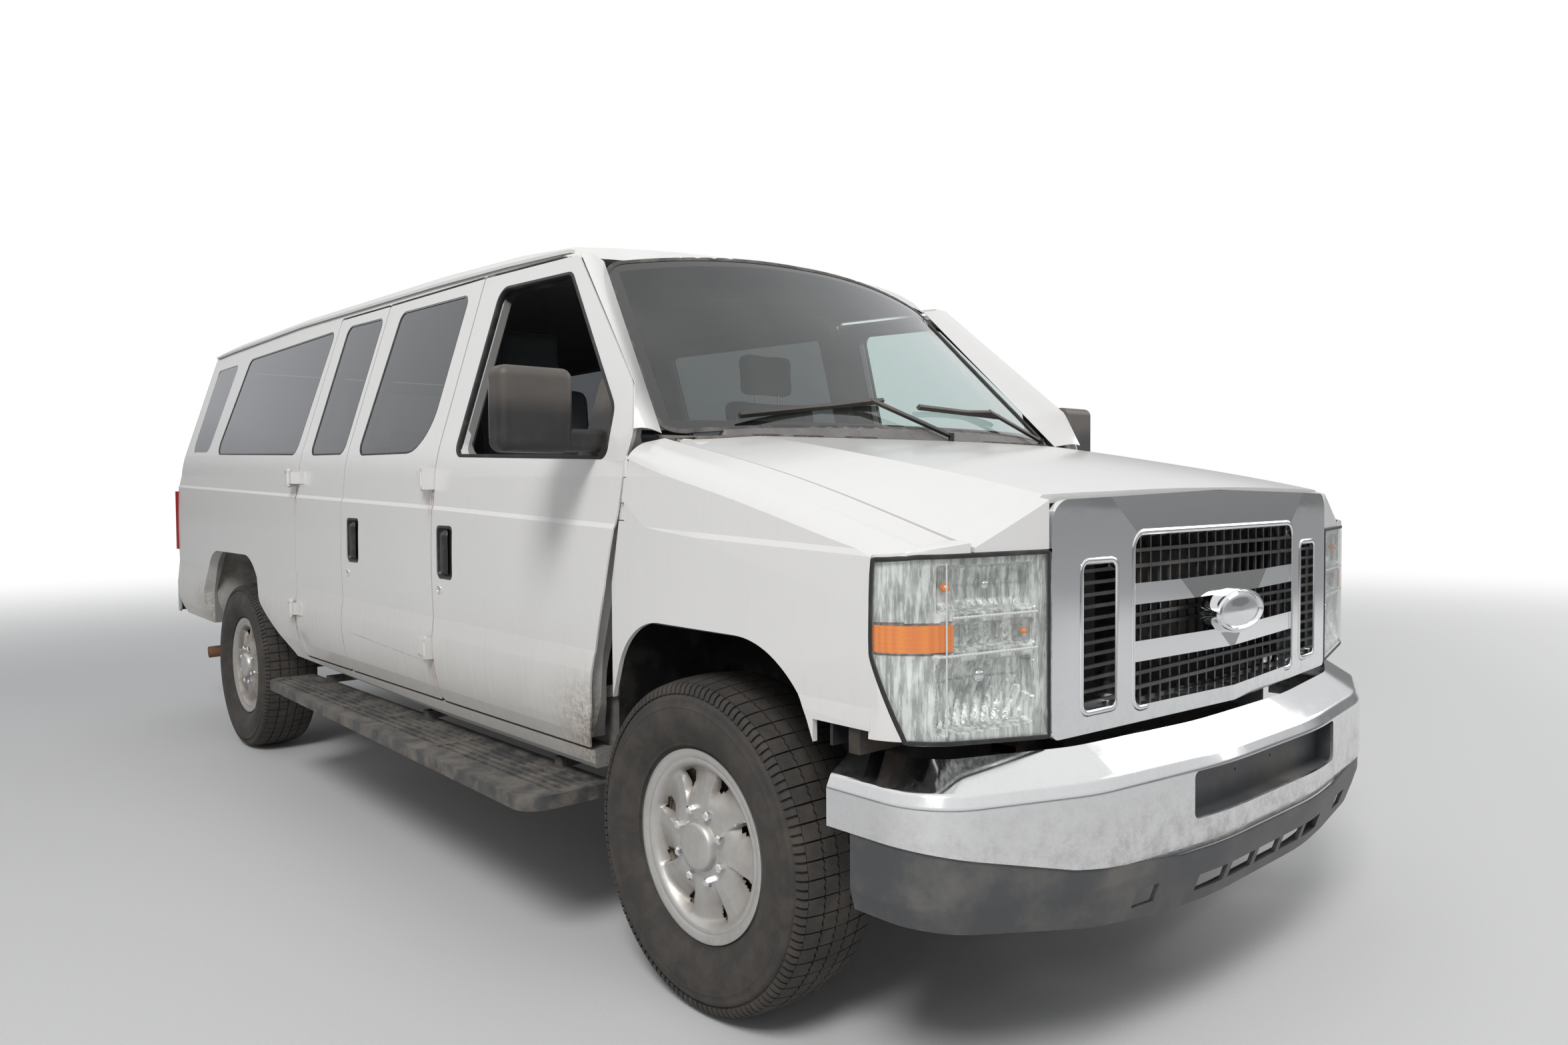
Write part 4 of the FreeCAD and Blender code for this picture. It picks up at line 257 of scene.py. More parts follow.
# %% Roof
def roof_paint(name):
    f = Finish(name)
    up = f.node("ShaderNodeSeparateXYZ", {}, {0: f.node("ShaderNodeNewGeometry", out=1)}, 2)
    under = up.ramp(0.0, -0.12)
    dust = f.noise(3.0, 5.0, 0.65).ramp(0.35, 0.75)
    fibre = f.noise(520.0, 2.0, 0.6)
    white = f.blend(dust * 0.45, (0.74, 0.73, 0.71), (0.58, 0.565, 0.53))
    cloth = f.blend(fibre, (0.30, 0.29, 0.27), (0.40, 0.385, 0.36))
    normal = f.bump(fibre * under + f.noise(190.0, 1.0) * 0.1, 0.0006)
    return f.done(f.shader(f.blend(under, white, cloth), 0.30 + dust * 0.1 + under * 0.55,
                           0.0, normal, Coat_Weight=(1 - under) * 0.5, Coat_Roughness=0.12))


FINISH["roof_paint"] = roof_paint("roof_paint")
print("roof made")

# %% [markdown]
# ## Glass
# A pane is clear plastic or glass between two faces. Each face lets most light through,
# tinted, and mirrors the rest, more at a glancing angle, which is what the Fresnel node
# gives. A face seen from inside the pane mirrors nothing, because there the node would
# take the light as trapped and turn the pane into a mirror. The windshield adds a ceramic
# black border and a tinted band along its top. They follow the pane's outline, which is
# written here as sums of place.

# %% Glass finishes
GLASS_INDEX = 1.5
BAND_TINT = (0.06, 0.075, 0.085)
BORDER_WIDTH = 0.034


def glazing(name, tint, black=None, haze=0.0, reflect=1.0, band=None):
    """Clear, tinted or dark glass; black(f) and band(f) give masks of paint and of tint."""
    f = Finish(name)
    smear = f.noise(5.0, 4.0, 0.6).ramp(0.35, 0.8)
    fresnel = f.node("ShaderNodeFresnel", {}, {"IOR": GLASS_INDEX})
    front = 1 - f.node("ShaderNodeNewGeometry", out=6)
    through = f.node("ShaderNodeBsdfTransparent", {}, {"Color": tint})
    if band:
        shade = f.node("ShaderNodeBsdfTransparent", {}, {"Color": BAND_TINT})
        through = f.node("ShaderNodeMixShader", {}, {0: band(f), 1: through, 2: shade})
    mirror = f.shader((0.95, 0.97, 1.0), 0.02 + smear * 0.03, 1.0)
    pane = f.node("ShaderNodeMixShader", {}, {0: (fresnel * front * reflect).least(1.0),
                                              1: through, 2: mirror})
    dust = f.shader((0.60, 0.57, 0.50), 0.6)
    veil = (smear * 0.5 + 0.5) * haze
    pane = f.node("ShaderNodeMixShader", {}, {0: veil, 1: pane, 2: dust})
    if black:
        paint = f.shader((0.008, 0.008, 0.009), 0.12, 0.0, Coat_Weight=0.8, Coat_Roughness=0.03)
        pane = f.node("ShaderNodeMixShader", {}, {0: black(f), 1: pane, 2: paint})
    return f.done(pane)


def up_slope(f):
    return (f.y - FOOT.y) * SLOPE.y + (f.z - FOOT.z) * SLOPE.z


def windshield_border(f):
    s, across = up_slope(f), abs(f.x)
    side = across - (PANE_HALF - (s - PANE_FROM) * PANE_TAPER - BORDER_WIDTH)
    foot = (across * across * 0.167 + 0.044) - s
    return side.ramp(0.0, 0.002).most(foot.ramp(0.0, 0.002)).most(s.ramp(0.772, 0.776))


FINISH["windshield"] = glazing("windshield_glass", (0.80, 0.86, 0.85), windshield_border,
                               0.035, 1.3, lambda f: up_slope(f).ramp(0.60, 0.76) * 0.85)
FINISH["dark_glass"] = glazing("dark_glass", (0.30, 0.31, 0.32), None, 0.012, 1.5)
FINISH["clear_glass"] = glazing("clear_glass", (0.82, 0.87, 0.86), None, 0.02, 1.2)
FINISH["lamp_glass"] = glazing("lamp_glass", (0.97, 0.98, 0.97), None, 0.06)
print("glass made")

# %% [markdown]
# ## Bright metal
# Plated parts mirror their surroundings, so what they need is not colour but uneven
# gloss: wiping marks, pits, and a brown tone that grows towards the bottom of the bumper.
# That tone isn't metal, so it lowers Metallic where it lies.

# %% Plated and silver finishes
def plated(name, colour, shine, low_brown=0.0, top=0.7, metal=1.0):
    f = Finish(name)
    wipe = f.noise(7.0, 5.0, 0.65, (1.0, 1.0, 3.0))
    pits = f.noise(380.0, 2.0, 0.7).ramp(0.66, 0.74)
    # a brown tone, browner and darker towards the bottom below the height top, and in pits
    low_brown_and_pits = f.noise(24.0, 6.0, 0.75).ramp(0.35, 0.75) * f.z.ramp(top, top - 0.28) * low_brown
    low_brown_and_pits = (low_brown_and_pits + pits * 0.35 * low_brown).least(1.0)
    tone = f.blend(low_brown_and_pits, colour, (0.30, 0.265, 0.225))
    rough = shine + wipe.ramp(0.35, 0.8) * 0.07 + low_brown_and_pits * 0.45
    normal = f.bump(f.noise(2.6, 2.0, 0.5) + pits * -0.02, 0.0012)
    return f.done(f.shader(tone, rough, (1 - low_brown_and_pits * 0.85) * metal, normal))


def lamp_reflector(name):
    """Bright plating behind a lens, with painted highlights and painted shade in streaks where its
    flutes throw light and dark.
    """
    f = Finish(name)
    painted_flute_streaks = f.noise(11.0, 4.0, 0.65, (8.0, 8.0, 1.2)).ramp(0.40, 0.60)
    painted_glint_patches = f.noise(26.0, 3.0, 0.6).ramp(0.35, 0.65)
    # painted highlights and painted shade: streaks and patches carry the colour from dark grey to
    # near white
    tone = f.blend((painted_flute_streaks * 0.7 + painted_glint_patches * 0.3).least(1.0), (0.34, 0.35, 0.345),
                   (0.97, 0.98, 0.98))
    return f.done(f.shader(tone, 0.16 + painted_glint_patches * 0.08, 0.22, f.bump(painted_flute_streaks, 0.0008),
                           Coat_Weight=0.6, Coat_Roughness=0.05))


def wheel_silver(name):
    """Silver paint on plastic, with brown brake dust in patches and a brown painted shade that
    deepens into the wheel.
    """
    f = Finish(name)
    side = f.noise(14.0, 5.0, 0.7)
    # painted shade: the colour turns darker and browner the deeper a face lies inside the wheel
    depth = abs(f.x).ramp(0.955, 0.915)
    dust = (depth * 0.75 + side.ramp(0.35, 0.8) * 0.35).least(0.9)
    fleck = f.noise(900.0, 1.0, 0.5)
    tone = f.blend(dust, f.blend(fleck, (0.50, 0.49, 0.47), (0.60, 0.59, 0.565)),
                   (0.19, 0.15, 0.115))
    return f.done(f.shader(tone, 0.34 + dust * 0.4, 0.72 - dust * 0.6,
                           f.bump(fleck, 0.0001), Coat_Weight=0.25, Coat_Roughness=0.2))


FINISH["chrome"] = plated("chrome", (0.80, 0.81, 0.82), 0.045, 0.20, 0.9)
FINISH["bumper_chrome"] = plated("bumper_chrome", (0.77, 0.775, 0.78), 0.07, 0.75, 0.70)
FINISH["reflector"] = lamp_reflector("reflector")
FINISH["mirror_glass"] = plated("mirror_glass", (0.88, 0.90, 0.92), 0.02)
FINISH["silver_cover"] = wheel_silver("silver_cover")
print("bright metal made")

# %% [markdown]
# ## Plastic, rubber and bare steel
# Moulded black plastic greys and browns in patches, and on the mirror heads its lighter
# tone gathers on top as painted light from above. Rubber carries dust in its low places,
# and steel below the floor rusts in patches. One function makes them all: a first colour,
# a second that noise brings in, a grain in the bump and a gloss.

# %% Worn finishes
def worn(name, colour, second, scale, share, rough, grain=420.0, depth=0.0003, metallic=0.0,
         above=None):
    """Two colours by noise; above, a height, lets the second one in mostly over it, as painted
    light on the top.
    """
    f = Finish(name)
    cloud = f.noise(scale, 5.0, 0.65)
    mask = cloud.ramp(0.62 - share * 0.5, 0.82 - share * 0.3)
    # painted light: over the height the lighter second colour gathers, as on a top lit from above
    if above:
        mask = mask * 0.25 + f.z.ramp(above - 0.05, above + 0.02) * (cloud * 0.6 + 0.35)
    tone = f.blend(mask.least(1.0), colour, second)
    grit = f.noise(grain, 2.0, 0.6)
    return f.done(f.shader(tone, rough + mask * 0.1, metallic, f.bump(grit, depth)))


FINISH.update({
    "black_plastic": worn("black_plastic", (0.016, 0.016, 0.017), (0.06, 0.055, 0.05), 9.0, 0.35,
                          0.42),
    # the mirror heads: lighter on top above 1.425 m, painted light
    "mirror_black": worn("mirror_black", (0.018, 0.017, 0.017), (0.115, 0.100, 0.086), 7.0, 0.3,
                         0.45, 600.0, 0.0004, above=1.425),
    "grey_plastic": worn("grey_plastic", (0.058, 0.060, 0.064), (0.12, 0.115, 0.105), 6.0, 0.4,
                         0.46),
    "cowl_plastic": worn("cowl_plastic", (0.085, 0.074, 0.064), (0.19, 0.165, 0.14), 30.0, 0.5,
                         0.75),
    "trim_plastic": worn("trim_plastic", (0.085, 0.083, 0.080), (0.12, 0.115, 0.11), 5.0, 0.3,
                         0.55, 500.0, 0.0005),
    "frame_steel": worn("frame_steel", (0.022, 0.021, 0.020), (0.060, 0.043, 0.032), 11.0, 0.35,
                        0.7, 160.0, 0.0008),
    "cast_metal": worn("cast_metal", (0.085, 0.080, 0.075), (0.13, 0.075, 0.045), 14.0, 0.5,
                       0.65, 120.0, 0.0010, 0.5),
    "exhaust_steel": worn("exhaust_steel", (0.17, 0.13, 0.10), (0.21, 0.095, 0.045), 16.0, 0.6,
                          0.7, 140.0, 0.0010, 0.4),
    "board_rubber": worn("board_rubber", (0.052, 0.052, 0.053), (0.15, 0.135, 0.115), 13.0, 0.5,
                         0.62),
    "rubber_seal": worn("rubber_seal", (0.014, 0.014, 0.015), (0.05, 0.047, 0.043), 18.0, 0.3,
                        0.55),
    "grey_seal": worn("grey_seal", (0.045, 0.044, 0.042), (0.13, 0.12, 0.11), 20.0, 0.5, 0.65),
    "zinc": worn("zinc", (0.42, 0.41, 0.39), (0.22, 0.12, 0.07), 40.0, 0.3, 0.38, 300.0, 0.0002,
                 0.85),
})


def tyre_rubber(name):
    """Black rubber, browned in patches, with grey dry grit all over."""
    f = Finish(name)
    cloud = f.noise(13.0, 5.0, 0.7)
    grit = f.noise(300.0, 3.0, 0.7)
    tone = f.blend(cloud.ramp(0.35, 0.75), (0.024, 0.022, 0.020), (0.060, 0.050, 0.041))
    return f.done(f.shader(f.blend(grit * 0.25, tone, (0.10, 0.09, 0.08)), 0.72 + cloud * 0.15,
                           0.0, f.bump(grit, 0.0004)))


def floor_mat(name):
    """Ribbed dark vinyl where the floor faces up, dusty pale paint on every other face."""
    f = Finish(name)
    up = f.node("ShaderNodeSeparateXYZ", {}, {0: f.node("ShaderNodeNewGeometry", out=1)}, 2)
    mat = up.ramp(0.5, 0.8) * f.z.ramp(0.66, 0.68)
    rib = (f.x * 420.0).sine()
    cloud = f.noise(8.0, 5.0, 0.7)
    paint = f.blend(cloud.ramp(0.3, 0.8), (0.50, 0.49, 0.47), (0.20, 0.17, 0.14))
    tone = f.blend(mat, paint, f.blend(cloud, (0.045, 0.045, 0.048), (0.085, 0.08, 0.075)))
    return f.done(f.shader(tone, 0.62, 0.0, f.bump(rib * mat, 0.0008)))


def lens_plastic(name, colour, deep):
    """Coloured lamp plastic with fine upright prisms moulded into it."""
    f = Finish(name)
    prisms = (f.x * 900.0 + f.y * 900.0).sine() * 0.5 + 0.5
    tone = f.blend(prisms * 0.5 + f.noise(12.0) * 0.3, colour, deep)
    return f.done(f.shader(tone, 0.16, 0.0, f.bump(prisms, 0.0006), Coat_Weight=1.0,
                           Coat_Roughness=0.05))


FINISH["tyre"] = tyre_rubber("tyre")
FINISH["floor_paint"] = floor_mat("floor_paint")
FINISH["tail_red"] = lens_plastic("tail_red", (0.42, 0.012, 0.010), (0.16, 0.004, 0.004))
FINISH["amber"] = lens_plastic("amber", (1.0, 0.30, 0.012), (0.80, 0.14, 0.006))
FINISH["white_lens"] = lens_plastic("white_lens", (0.72, 0.72, 0.70), (0.50, 0.50, 0.49))


def seat_cloth(name):
    """Flat woven cloth: two crossing sets of threads, and darker worn patches."""
    f = Finish(name)
    warp = (f.x * 2600.0).sine() * 0.5 + 0.5
    weft = ((f.y + f.z) * 2600.0).sine() * 0.5 + 0.5
    fleck = f.noise(260.0, 3.0, 0.7)
    tone = f.blend(fleck, (0.040, 0.041, 0.046), (0.105, 0.105, 0.115))
    tone = f.blend(f.noise(6.0, 3.0) * 0.4, tone, (0.05, 0.045, 0.045))
    return f.done(f.shader(tone, 0.92, 0.0, f.bump(warp * weft + fleck * 0.5, 0.0006)))


FINISH["seat_fabric"] = seat_cloth("seat_fabric")
print(len(FINISH), "finishes ready")

# %% [markdown]
# ## Finishes onto the solid pieces
# Each node of the frame came with a named slot. Most nodes take the finish of that name.
# A few want a closer one: the front bumper is dirtier than the grille, the running boards
# are ribbed rubber, the roof has its lining.

# %% Assigning finishes
CLOSER = {
    "roof": "roof_paint", "windshield": "windshield", "front_bumper": "bumper_chrome",
    "rear_bumper": "bumper_chrome", "running_boards": "board_rubber", "hood": "plain_paint",
    "fender_left": "plain_paint", "fender_right": "plain_paint", "cowl_panel": "cowl_plastic",
}
for name, node in NODES.items():
    given = node.data.materials[0].name if node.data.materials else "black_plastic"
    given = given.split(".")[0]
    node.data.materials.clear()
    node.data.materials.append(FINISH[CLOSER.get(name, given)])
print("finishes on", len(NODES), "nodes")

# %% [markdown]
# ## Tools for shapes
# Every added piece is a mesh made from points and faces. The helpers below keep that
# short: one makes the object and hands it to the body that it moves with, one spins a
# profile about the wheel axis, one sweeps a profile along a line that lies on a surface,
# and one finds where a straight ray meets a panel, so that fittings sit on real metal.


def piece(name, points, faces, finish, body, smooth=40.0, turn=True):
    """A finished object from a mesh of points and faces, riding on a body."""
    mesh = bpy.data.meshes.new(name)
    work = bmesh.new()
    corners = [work.verts.new(point) for point in points]
    for face in faces:
        if len(set(face)) > 2:
            try:
                work.faces.new([corners[i] for i in face])
            except ValueError:
                pass
    bmesh.ops.remove_doubles(work, verts=work.verts, dist=1e-6)
    if turn:
        bmesh.ops.recalc_face_normals(work, faces=work.faces)
    work.to_mesh(mesh)
    work.free()
    return placed(name, mesh, finish, body, smooth)


def placed(name, mesh, finish, body, smooth=40.0):
    mesh.materials.clear()
    mesh.materials.append(FINISH[finish])
    mesh.shade_smooth()
    mesh.set_sharp_from_angle(angle=math.radians(smooth))
    made = bpy.data.objects.new(name, mesh)
    bpy.context.scene.collection.objects.link(made)
    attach(made, body)
    print(name, len(mesh.polygons), "faces on", body)
    return made


class Heap:
    """Points and faces of several shapes, gathered into one mesh."""

    def __init__(self):
        self.points, self.faces = [], []

    def add(self, points, faces):
        start = len(self.points)
        self.points += [Vector(p) for p in points]
        self.faces += [tuple(i + start for i in face) for face in faces]

    def grid(self, rows, closed_u=False, closed_v=False):
        """Quads between rows of points of equal length."""
        width = len(rows[0])
        faces = []
        for i in range(len(rows) - (0 if closed_u else 1)):
            for j in range(width - (0 if closed_v else 1)):
                a, b = i * width, ((i + 1) % len(rows)) * width
                k = (j + 1) % width
                faces.append((a + j, b + j, b + k, a + k))
        self.add([p for row in rows for p in row], faces)

    def mirrored(self):
        self.add([Vector((-p.x, p.y, p.z)) for p in self.points],
                 [tuple(reversed(face)) for face in self.faces])


def lathe(rows, parts, closed=True):
    """A spun profile: rows of (x, r) in millimetres, about the X axis."""
    heap = Heap()
    rings = []
    for c, s in circle(parts):
        rings.append([Vector((x, r * c, r * s)) / 1000 for x, r in rows])
    heap.grid(rings, True, closed)
    return heap


def swept(line, normals, profile, closed=True):
    """A profile of (sideways, outward) millimetres carried along a line on a surface."""
    heap = Heap()
    middle = sum(line, Vector()) / len(line)
    rows = []
    count = len(line)
    for i, (point, normal) in enumerate(zip(line, normals)):
        after = line[(i + 1) % count] if closed or i < count - 1 else point
        before = line[i - 1] if closed or i else point
        ahead = (after - before).normalized()
        side = ahead.cross(normal).normalized()
        if closed and side.dot(middle - point) < 0:
            side = -side
        rows.append([point + side * (u / 1000) + normal * (v / 1000) for u, v in profile])
    heap.grid(rows, closed, True)
    if not closed:
        start = len(rows[0])
        heap.faces.append(tuple(range(start)))
        heap.faces.append(tuple(range((count - 1) * start, count * start)))
    return heap


def round_profile(radius, sides=8, lift=0.0, flat=1.0):
    return [(radius * c, lift + flat * radius * s) for c, s in circle(sides)]


# %% Rays and rims
TREES = {}


def meets(node, start, way):
    """Where a ray first meets a node, and the surface's normal there."""
    if node not in TREES:
        mesh = NODES[node].data
        TREES[node] = BVHTree.FromPolygons([v.co for v in mesh.vertices],
                                           [tuple(p.vertices) for p in mesh.polygons])
    hit, normal, _, _ = TREES[node].ray_cast(Vector(start), Vector(way).normalized())
    if hit is not None and normal.dot(Vector(way)) > 0:
        normal = -normal
    return hit, normal


def rims(node, out, least=0.5):
    """The closed lines round those faces of a node that look one way, longest first."""
    work = bmesh.new()
    work.from_mesh(NODES[node].data)
    bmesh.ops.remove_doubles(work, verts=work.verts, dist=2e-5)
    work.normal_update()
    out = Vector(out).normalized()
    picked = {face for face in work.faces if face.normal.dot(out) > least}
    border = {}
    for edge in work.edges:
        if sum(face in picked for face in edge.link_faces) == 1:
            for vertex in edge.verts:
                border.setdefault(vertex, []).append(edge)
    lines = []
    unused = {edge for edges in border.values() for edge in edges}
    while unused:
        edge = next(iter(unused))
        first, vertex = edge.verts
        unused.discard(edge)
        line = [first]
        while vertex is not first and vertex is not None:
            line.append(vertex)
            onward = [e for e in border[vertex] if e in unused]
            if not onward:
                vertex = None
                break
            unused.discard(onward[0])
            vertex = onward[0].other_vert(vertex)
        if vertex is first and len(line) > 6:
            normals = []
            for v in line:
                total = sum((f.normal for f in v.link_faces if f in picked), Vector())
                normals.append(total.normalized())
            places = [v.co.copy() for v in line]
            length = sum((a - b).length for a, b in zip(places, places[1:] + places[:1]))
            lines.append((length, places, normals))
    work.free()
    return sorted(lines, key=lambda entry: -entry[0])


def rounded(rows, step=9.0):
    """Points of a closed outline from rows of (u, v, corner radius)."""
    outline = []
    count = len(rows)
    for i, (u, v, radius) in enumerate(rows):
        here = Vector((u, v))
        back = (Vector(rows[i - 1][:2]) - here).normalized()
        ahead = (Vector(rows[(i + 1) % count][:2]) - here).normalized()
        half = back.angle(ahead) / 2
        if radius <= 0:
            outline.append(here)
            continue
        reach = radius / math.tan(half)
        centre = here + (back + ahead).normalized() * (radius / math.sin(half))
        start, end = here + back * reach - centre, here + ahead * reach - centre
        turn = start.angle_signed(end)
        pieces = max(3, int(abs(turn) * radius / step))
        for k in range(pieces + 1):
            a = -turn * k / pieces
            outline.append(centre + Vector((start.x * math.cos(a) - start.y * math.sin(a),
                                            start.x * math.sin(a) + start.y * math.cos(a))))
    return outline


def seal(name, node, out, profile, finish, body, which=0):
    """A rubber strip round one rim of a node, counted from the longest."""
    _, line, normals = rims(node, out)[which]
    heap = swept(line, normals, profile)
    return piece(name, heap.points, heap.faces, finish, body)


print("shape tools ready")

# %% [markdown]
# ## Copies by Geometry Nodes
# Tread, lug caps and bolts repeat. Two small trees make them. The first turns copies of
# one shape about the X axis, a given number of times. The second stands a copy on every
# point of a mesh, along a direction stored with that point. Both realize their copies and
# set the finish, and the result is read back as a plain mesh.

# %% Two trees
def socketed(tree, kinds):
    for name, kind in kinds:
        tree.interface.new_socket(name, in_out="INPUT", socket_type=kind)
    tree.interface.new_socket("Geometry", in_out="OUTPUT", socket_type="NodeSocketGeometry")
    return tree.nodes.new("NodeGroupInput"), tree.nodes.new("NodeGroupOutput")


def joined(tree, *pairs):
    for source, target in pairs:
        tree.links.new(source, target)


def ring_tree():
    tree = bpy.data.node_groups.new("ring_of_copies", "GeometryNodeTree")
    given, end = socketed(tree, (("Geometry", "NodeSocketGeometry"), ("Count", "NodeSocketInt"),
                                 ("Copy", "NodeSocketObject"), ("Finish", "NodeSocketMaterial")))
    points = tree.nodes.new("GeometryNodeMeshLine")
    points.inputs["Offset"].default_value = (0, 0, 0)
    copy = tree.nodes.new("GeometryNodeObjectInfo")
    index = tree.nodes.new("GeometryNodeInputIndex")
    share = tree.nodes.new("ShaderNodeMath")
    share.operation = "DIVIDE"
    angle = tree.nodes.new("ShaderNodeMath")
    angle.operation = "MULTIPLY"
    angle.inputs[1].default_value = 2 * math.pi
    turn = tree.nodes.new("ShaderNodeCombineXYZ")
    stand = tree.nodes.new("GeometryNodeInstanceOnPoints")
    real = tree.nodes.new("GeometryNodeRealizeInstances")
    dress = tree.nodes.new("GeometryNodeSetMaterial")
    joined(tree, (given.outputs["Count"], points.inputs["Count"]),
           (given.outputs["Copy"], copy.inputs["Object"]),
           (index.outputs[0], share.inputs[0]), (given.outputs["Count"], share.inputs[1]),
           (share.outputs[0], angle.inputs[0]), (angle.outputs[0], turn.inputs["X"]),
           (points.outputs[0], stand.inputs["Points"]),
           (copy.outputs["Geometry"], stand.inputs["Instance"]),
           (turn.outputs[0], stand.inputs["Rotation"]), (stand.outputs[0], real.inputs[0]),
           (real.outputs[0], dress.inputs["Geometry"]),
           (given.outputs["Finish"], dress.inputs["Material"]),
           (dress.outputs[0], end.inputs[0]))
    return tree


def stand_tree():
    tree = bpy.data.node_groups.new("copies_on_points", "GeometryNodeTree")
    given, end = socketed(tree, (("Geometry", "NodeSocketGeometry"), ("Size", "NodeSocketFloat"),
                                 ("Copy", "NodeSocketObject"), ("Finish", "NodeSocketMaterial")))
    copy = tree.nodes.new("GeometryNodeObjectInfo")
    facing = tree.nodes.new("GeometryNodeInputNamedAttribute")
    facing.data_type = "FLOAT_VECTOR"
    facing.inputs["Name"].default_value = "facing"
    turn = tree.nodes.new("FunctionNodeAlignEulerToVector")
    turn.axis = "Z"
    stand = tree.nodes.new("GeometryNodeInstanceOnPoints")
    real = tree.nodes.new("GeometryNodeRealizeInstances")
    dress = tree.nodes.new("GeometryNodeSetMaterial")
    joined(tree, (given.outputs["Geometry"], stand.inputs["Points"]),
           (given.outputs["Copy"], copy.inputs["Object"]),
           (copy.outputs["Geometry"], stand.inputs["Instance"]),
           (facing.outputs[0], turn.inputs["Vector"]), (turn.outputs[0], stand.inputs["Rotation"]),
           (given.outputs["Size"], stand.inputs["Scale"]), (stand.outputs[0], real.inputs[0]),
           (real.outputs[0], dress.inputs["Geometry"]),
           (given.outputs["Finish"], dress.inputs["Material"]), (dress.outputs[0], end.inputs[0]))
    return tree


RING, STAND = ring_tree(), stand_tree()


def grown(tree, host, values, finish):
    """The plain mesh that a tree makes on a host mesh."""
    carrier = bpy.data.objects.new("carrier", host)
    bpy.context.scene.collection.objects.link(carrier)
    modifier = carrier.modifiers.new("copies", "NODES")
    modifier.node_group = tree
    names = {item.name: item.identifier for item in tree.interface.items_tree
             if item.item_type == "SOCKET" and item.in_out == "INPUT"}
    for key, value in {**values, "Finish": FINISH[finish]}.items():
        modifier[names[key]] = value
    bpy.context.view_layer.update()
    seen = carrier.evaluated_get(bpy.context.evaluated_depsgraph_get())
    mesh = bpy.data.meshes.new_from_object(seen)
    bpy.data.objects.remove(carrier)
    bpy.data.objects.remove(values["Copy"])
    return mesh


def master(heap):
    """A copy to hand to a tree: an object that never stays in the scene."""
    mesh = bpy.data.meshes.new("master")
    mesh.from_pydata([tuple(p) for p in heap.points], [], heap.faces)
    work = bmesh.new()
    work.from_mesh(mesh)
    bmesh.ops.remove_doubles(work, verts=work.verts, dist=1e-6)
    bmesh.ops.recalc_face_normals(work, faces=work.faces)
    work.to_mesh(mesh)
    work.free()
    made = bpy.data.objects.new("master", mesh)
    bpy.context.scene.collection.objects.link(made)
    return made


def studs(name, spots, heap, finish, body, size=1.0):
    """One small shape on each (place, direction), as one mesh."""
    host = bpy.data.meshes.new(name)
    host.from_pydata([tuple(place) for place, way in spots], [], [])
    facing = host.attributes.new("facing", "FLOAT_VECTOR", "POINT")
    for entry, (place, way) in zip(facing.data, spots):
        entry.vector = way
    mesh = grown(STAND, host, {"Copy": master(heap), "Size": size}, finish)
    return placed(name, mesh, finish, body)


print("trees", RING.name, STAND.name)

# %% [markdown]
# ## Tyres
# The solid tyre is a smooth ring. The real one has five ribs parted by narrow zigzag
# grooves, cross cuts between blocks, and a row of lugs round each shoulder. One pitch of
# that tread is modelled as raised blocks on the ring's own curve and repeated 62 times.
# The carcass is spun, lower than the blocks by the depth that is left on this worn tyre.

# %% Tread
PITCHES = 62
TREAD_DEPTH = 6.0
TYRE_RADIUS, CROWN_FALL = 385, 9.0      # at the middle line, and lower at the tread's edge
TREAD_HALF, SHOULDER_REACH = 94, 40
SHOULDER = ((0, 94, 376), (8, 101, 373), (15, 106.5, 369.2), (21, 110, 363.5),
            (29, 112.2, 356), (40, 113.8, 345))


def tread_surface(u):
    """Across and radius on the tyre's outside, for a distance from its middle line."""
    side = abs(u)
    if side <= TREAD_HALF:
        x, r = side, TYRE_RADIUS - CROWN_FALL * (side / TREAD_HALF) ** 2
        lean = side * 0.0021
    else:
        over = min(side - TREAD_HALF, SHOULDER_REACH)
        for (a, xa, ra), (b, xb, rb) in zip(SHOULDER, SHOULDER[1:]):
            if a <= over <= b:
                share = (over - a) / (b - a)
                x, r = xa + (xb - xa) * share, ra + (rb - ra) * share
        lean = 0.2 + over * 0.033
    return math.copysign(x, u), r - 0.3, math.copysign(min(lean, 1.45), u)


def tread_point(u, t, depth):
    x, r, lean = tread_surface(u)
    x, r = x - math.sin(lean) * depth, r - math.cos(lean) * depth
    a = 2 * math.pi * t / PITCHES
    return Vector((x, r * math.sin(a), r * math.cos(a))) / 1000


def block(heap, left, right, t0, t1, columns=3, lines=6):
    """A raised block between two edges that are functions of the pitch's share."""
    top = []
    for k in range(lines + 1):
        t = t0 + (t1 - t0) * k / lines
        a, b = left(t), right(t)
        top.append([(a + (b - a) * j / columns, t) for j in range(columns + 1)])
    heap.grid([[tread_point(u, t, 0.0) for u, t in row] for row in top])
    ring = (top[0] + [row[-1] for row in top[1:]] + top[-1][-2::-1]
            + [row[0] for row in top[-2:0:-1]])
    heap.grid([[tread_point(u, t, depth) for u, t in ring] for depth in (0.0, TREAD_DEPTH + 1)],
              closed_v=True)


def zigzag(place, swing):
    """An edge that swings twice to each side within one pitch."""

    def edge(t):
        phase = (t * 2) % 1.0
        return place + swing * (4 * abs(phase - 0.5) - 1)
    return edge


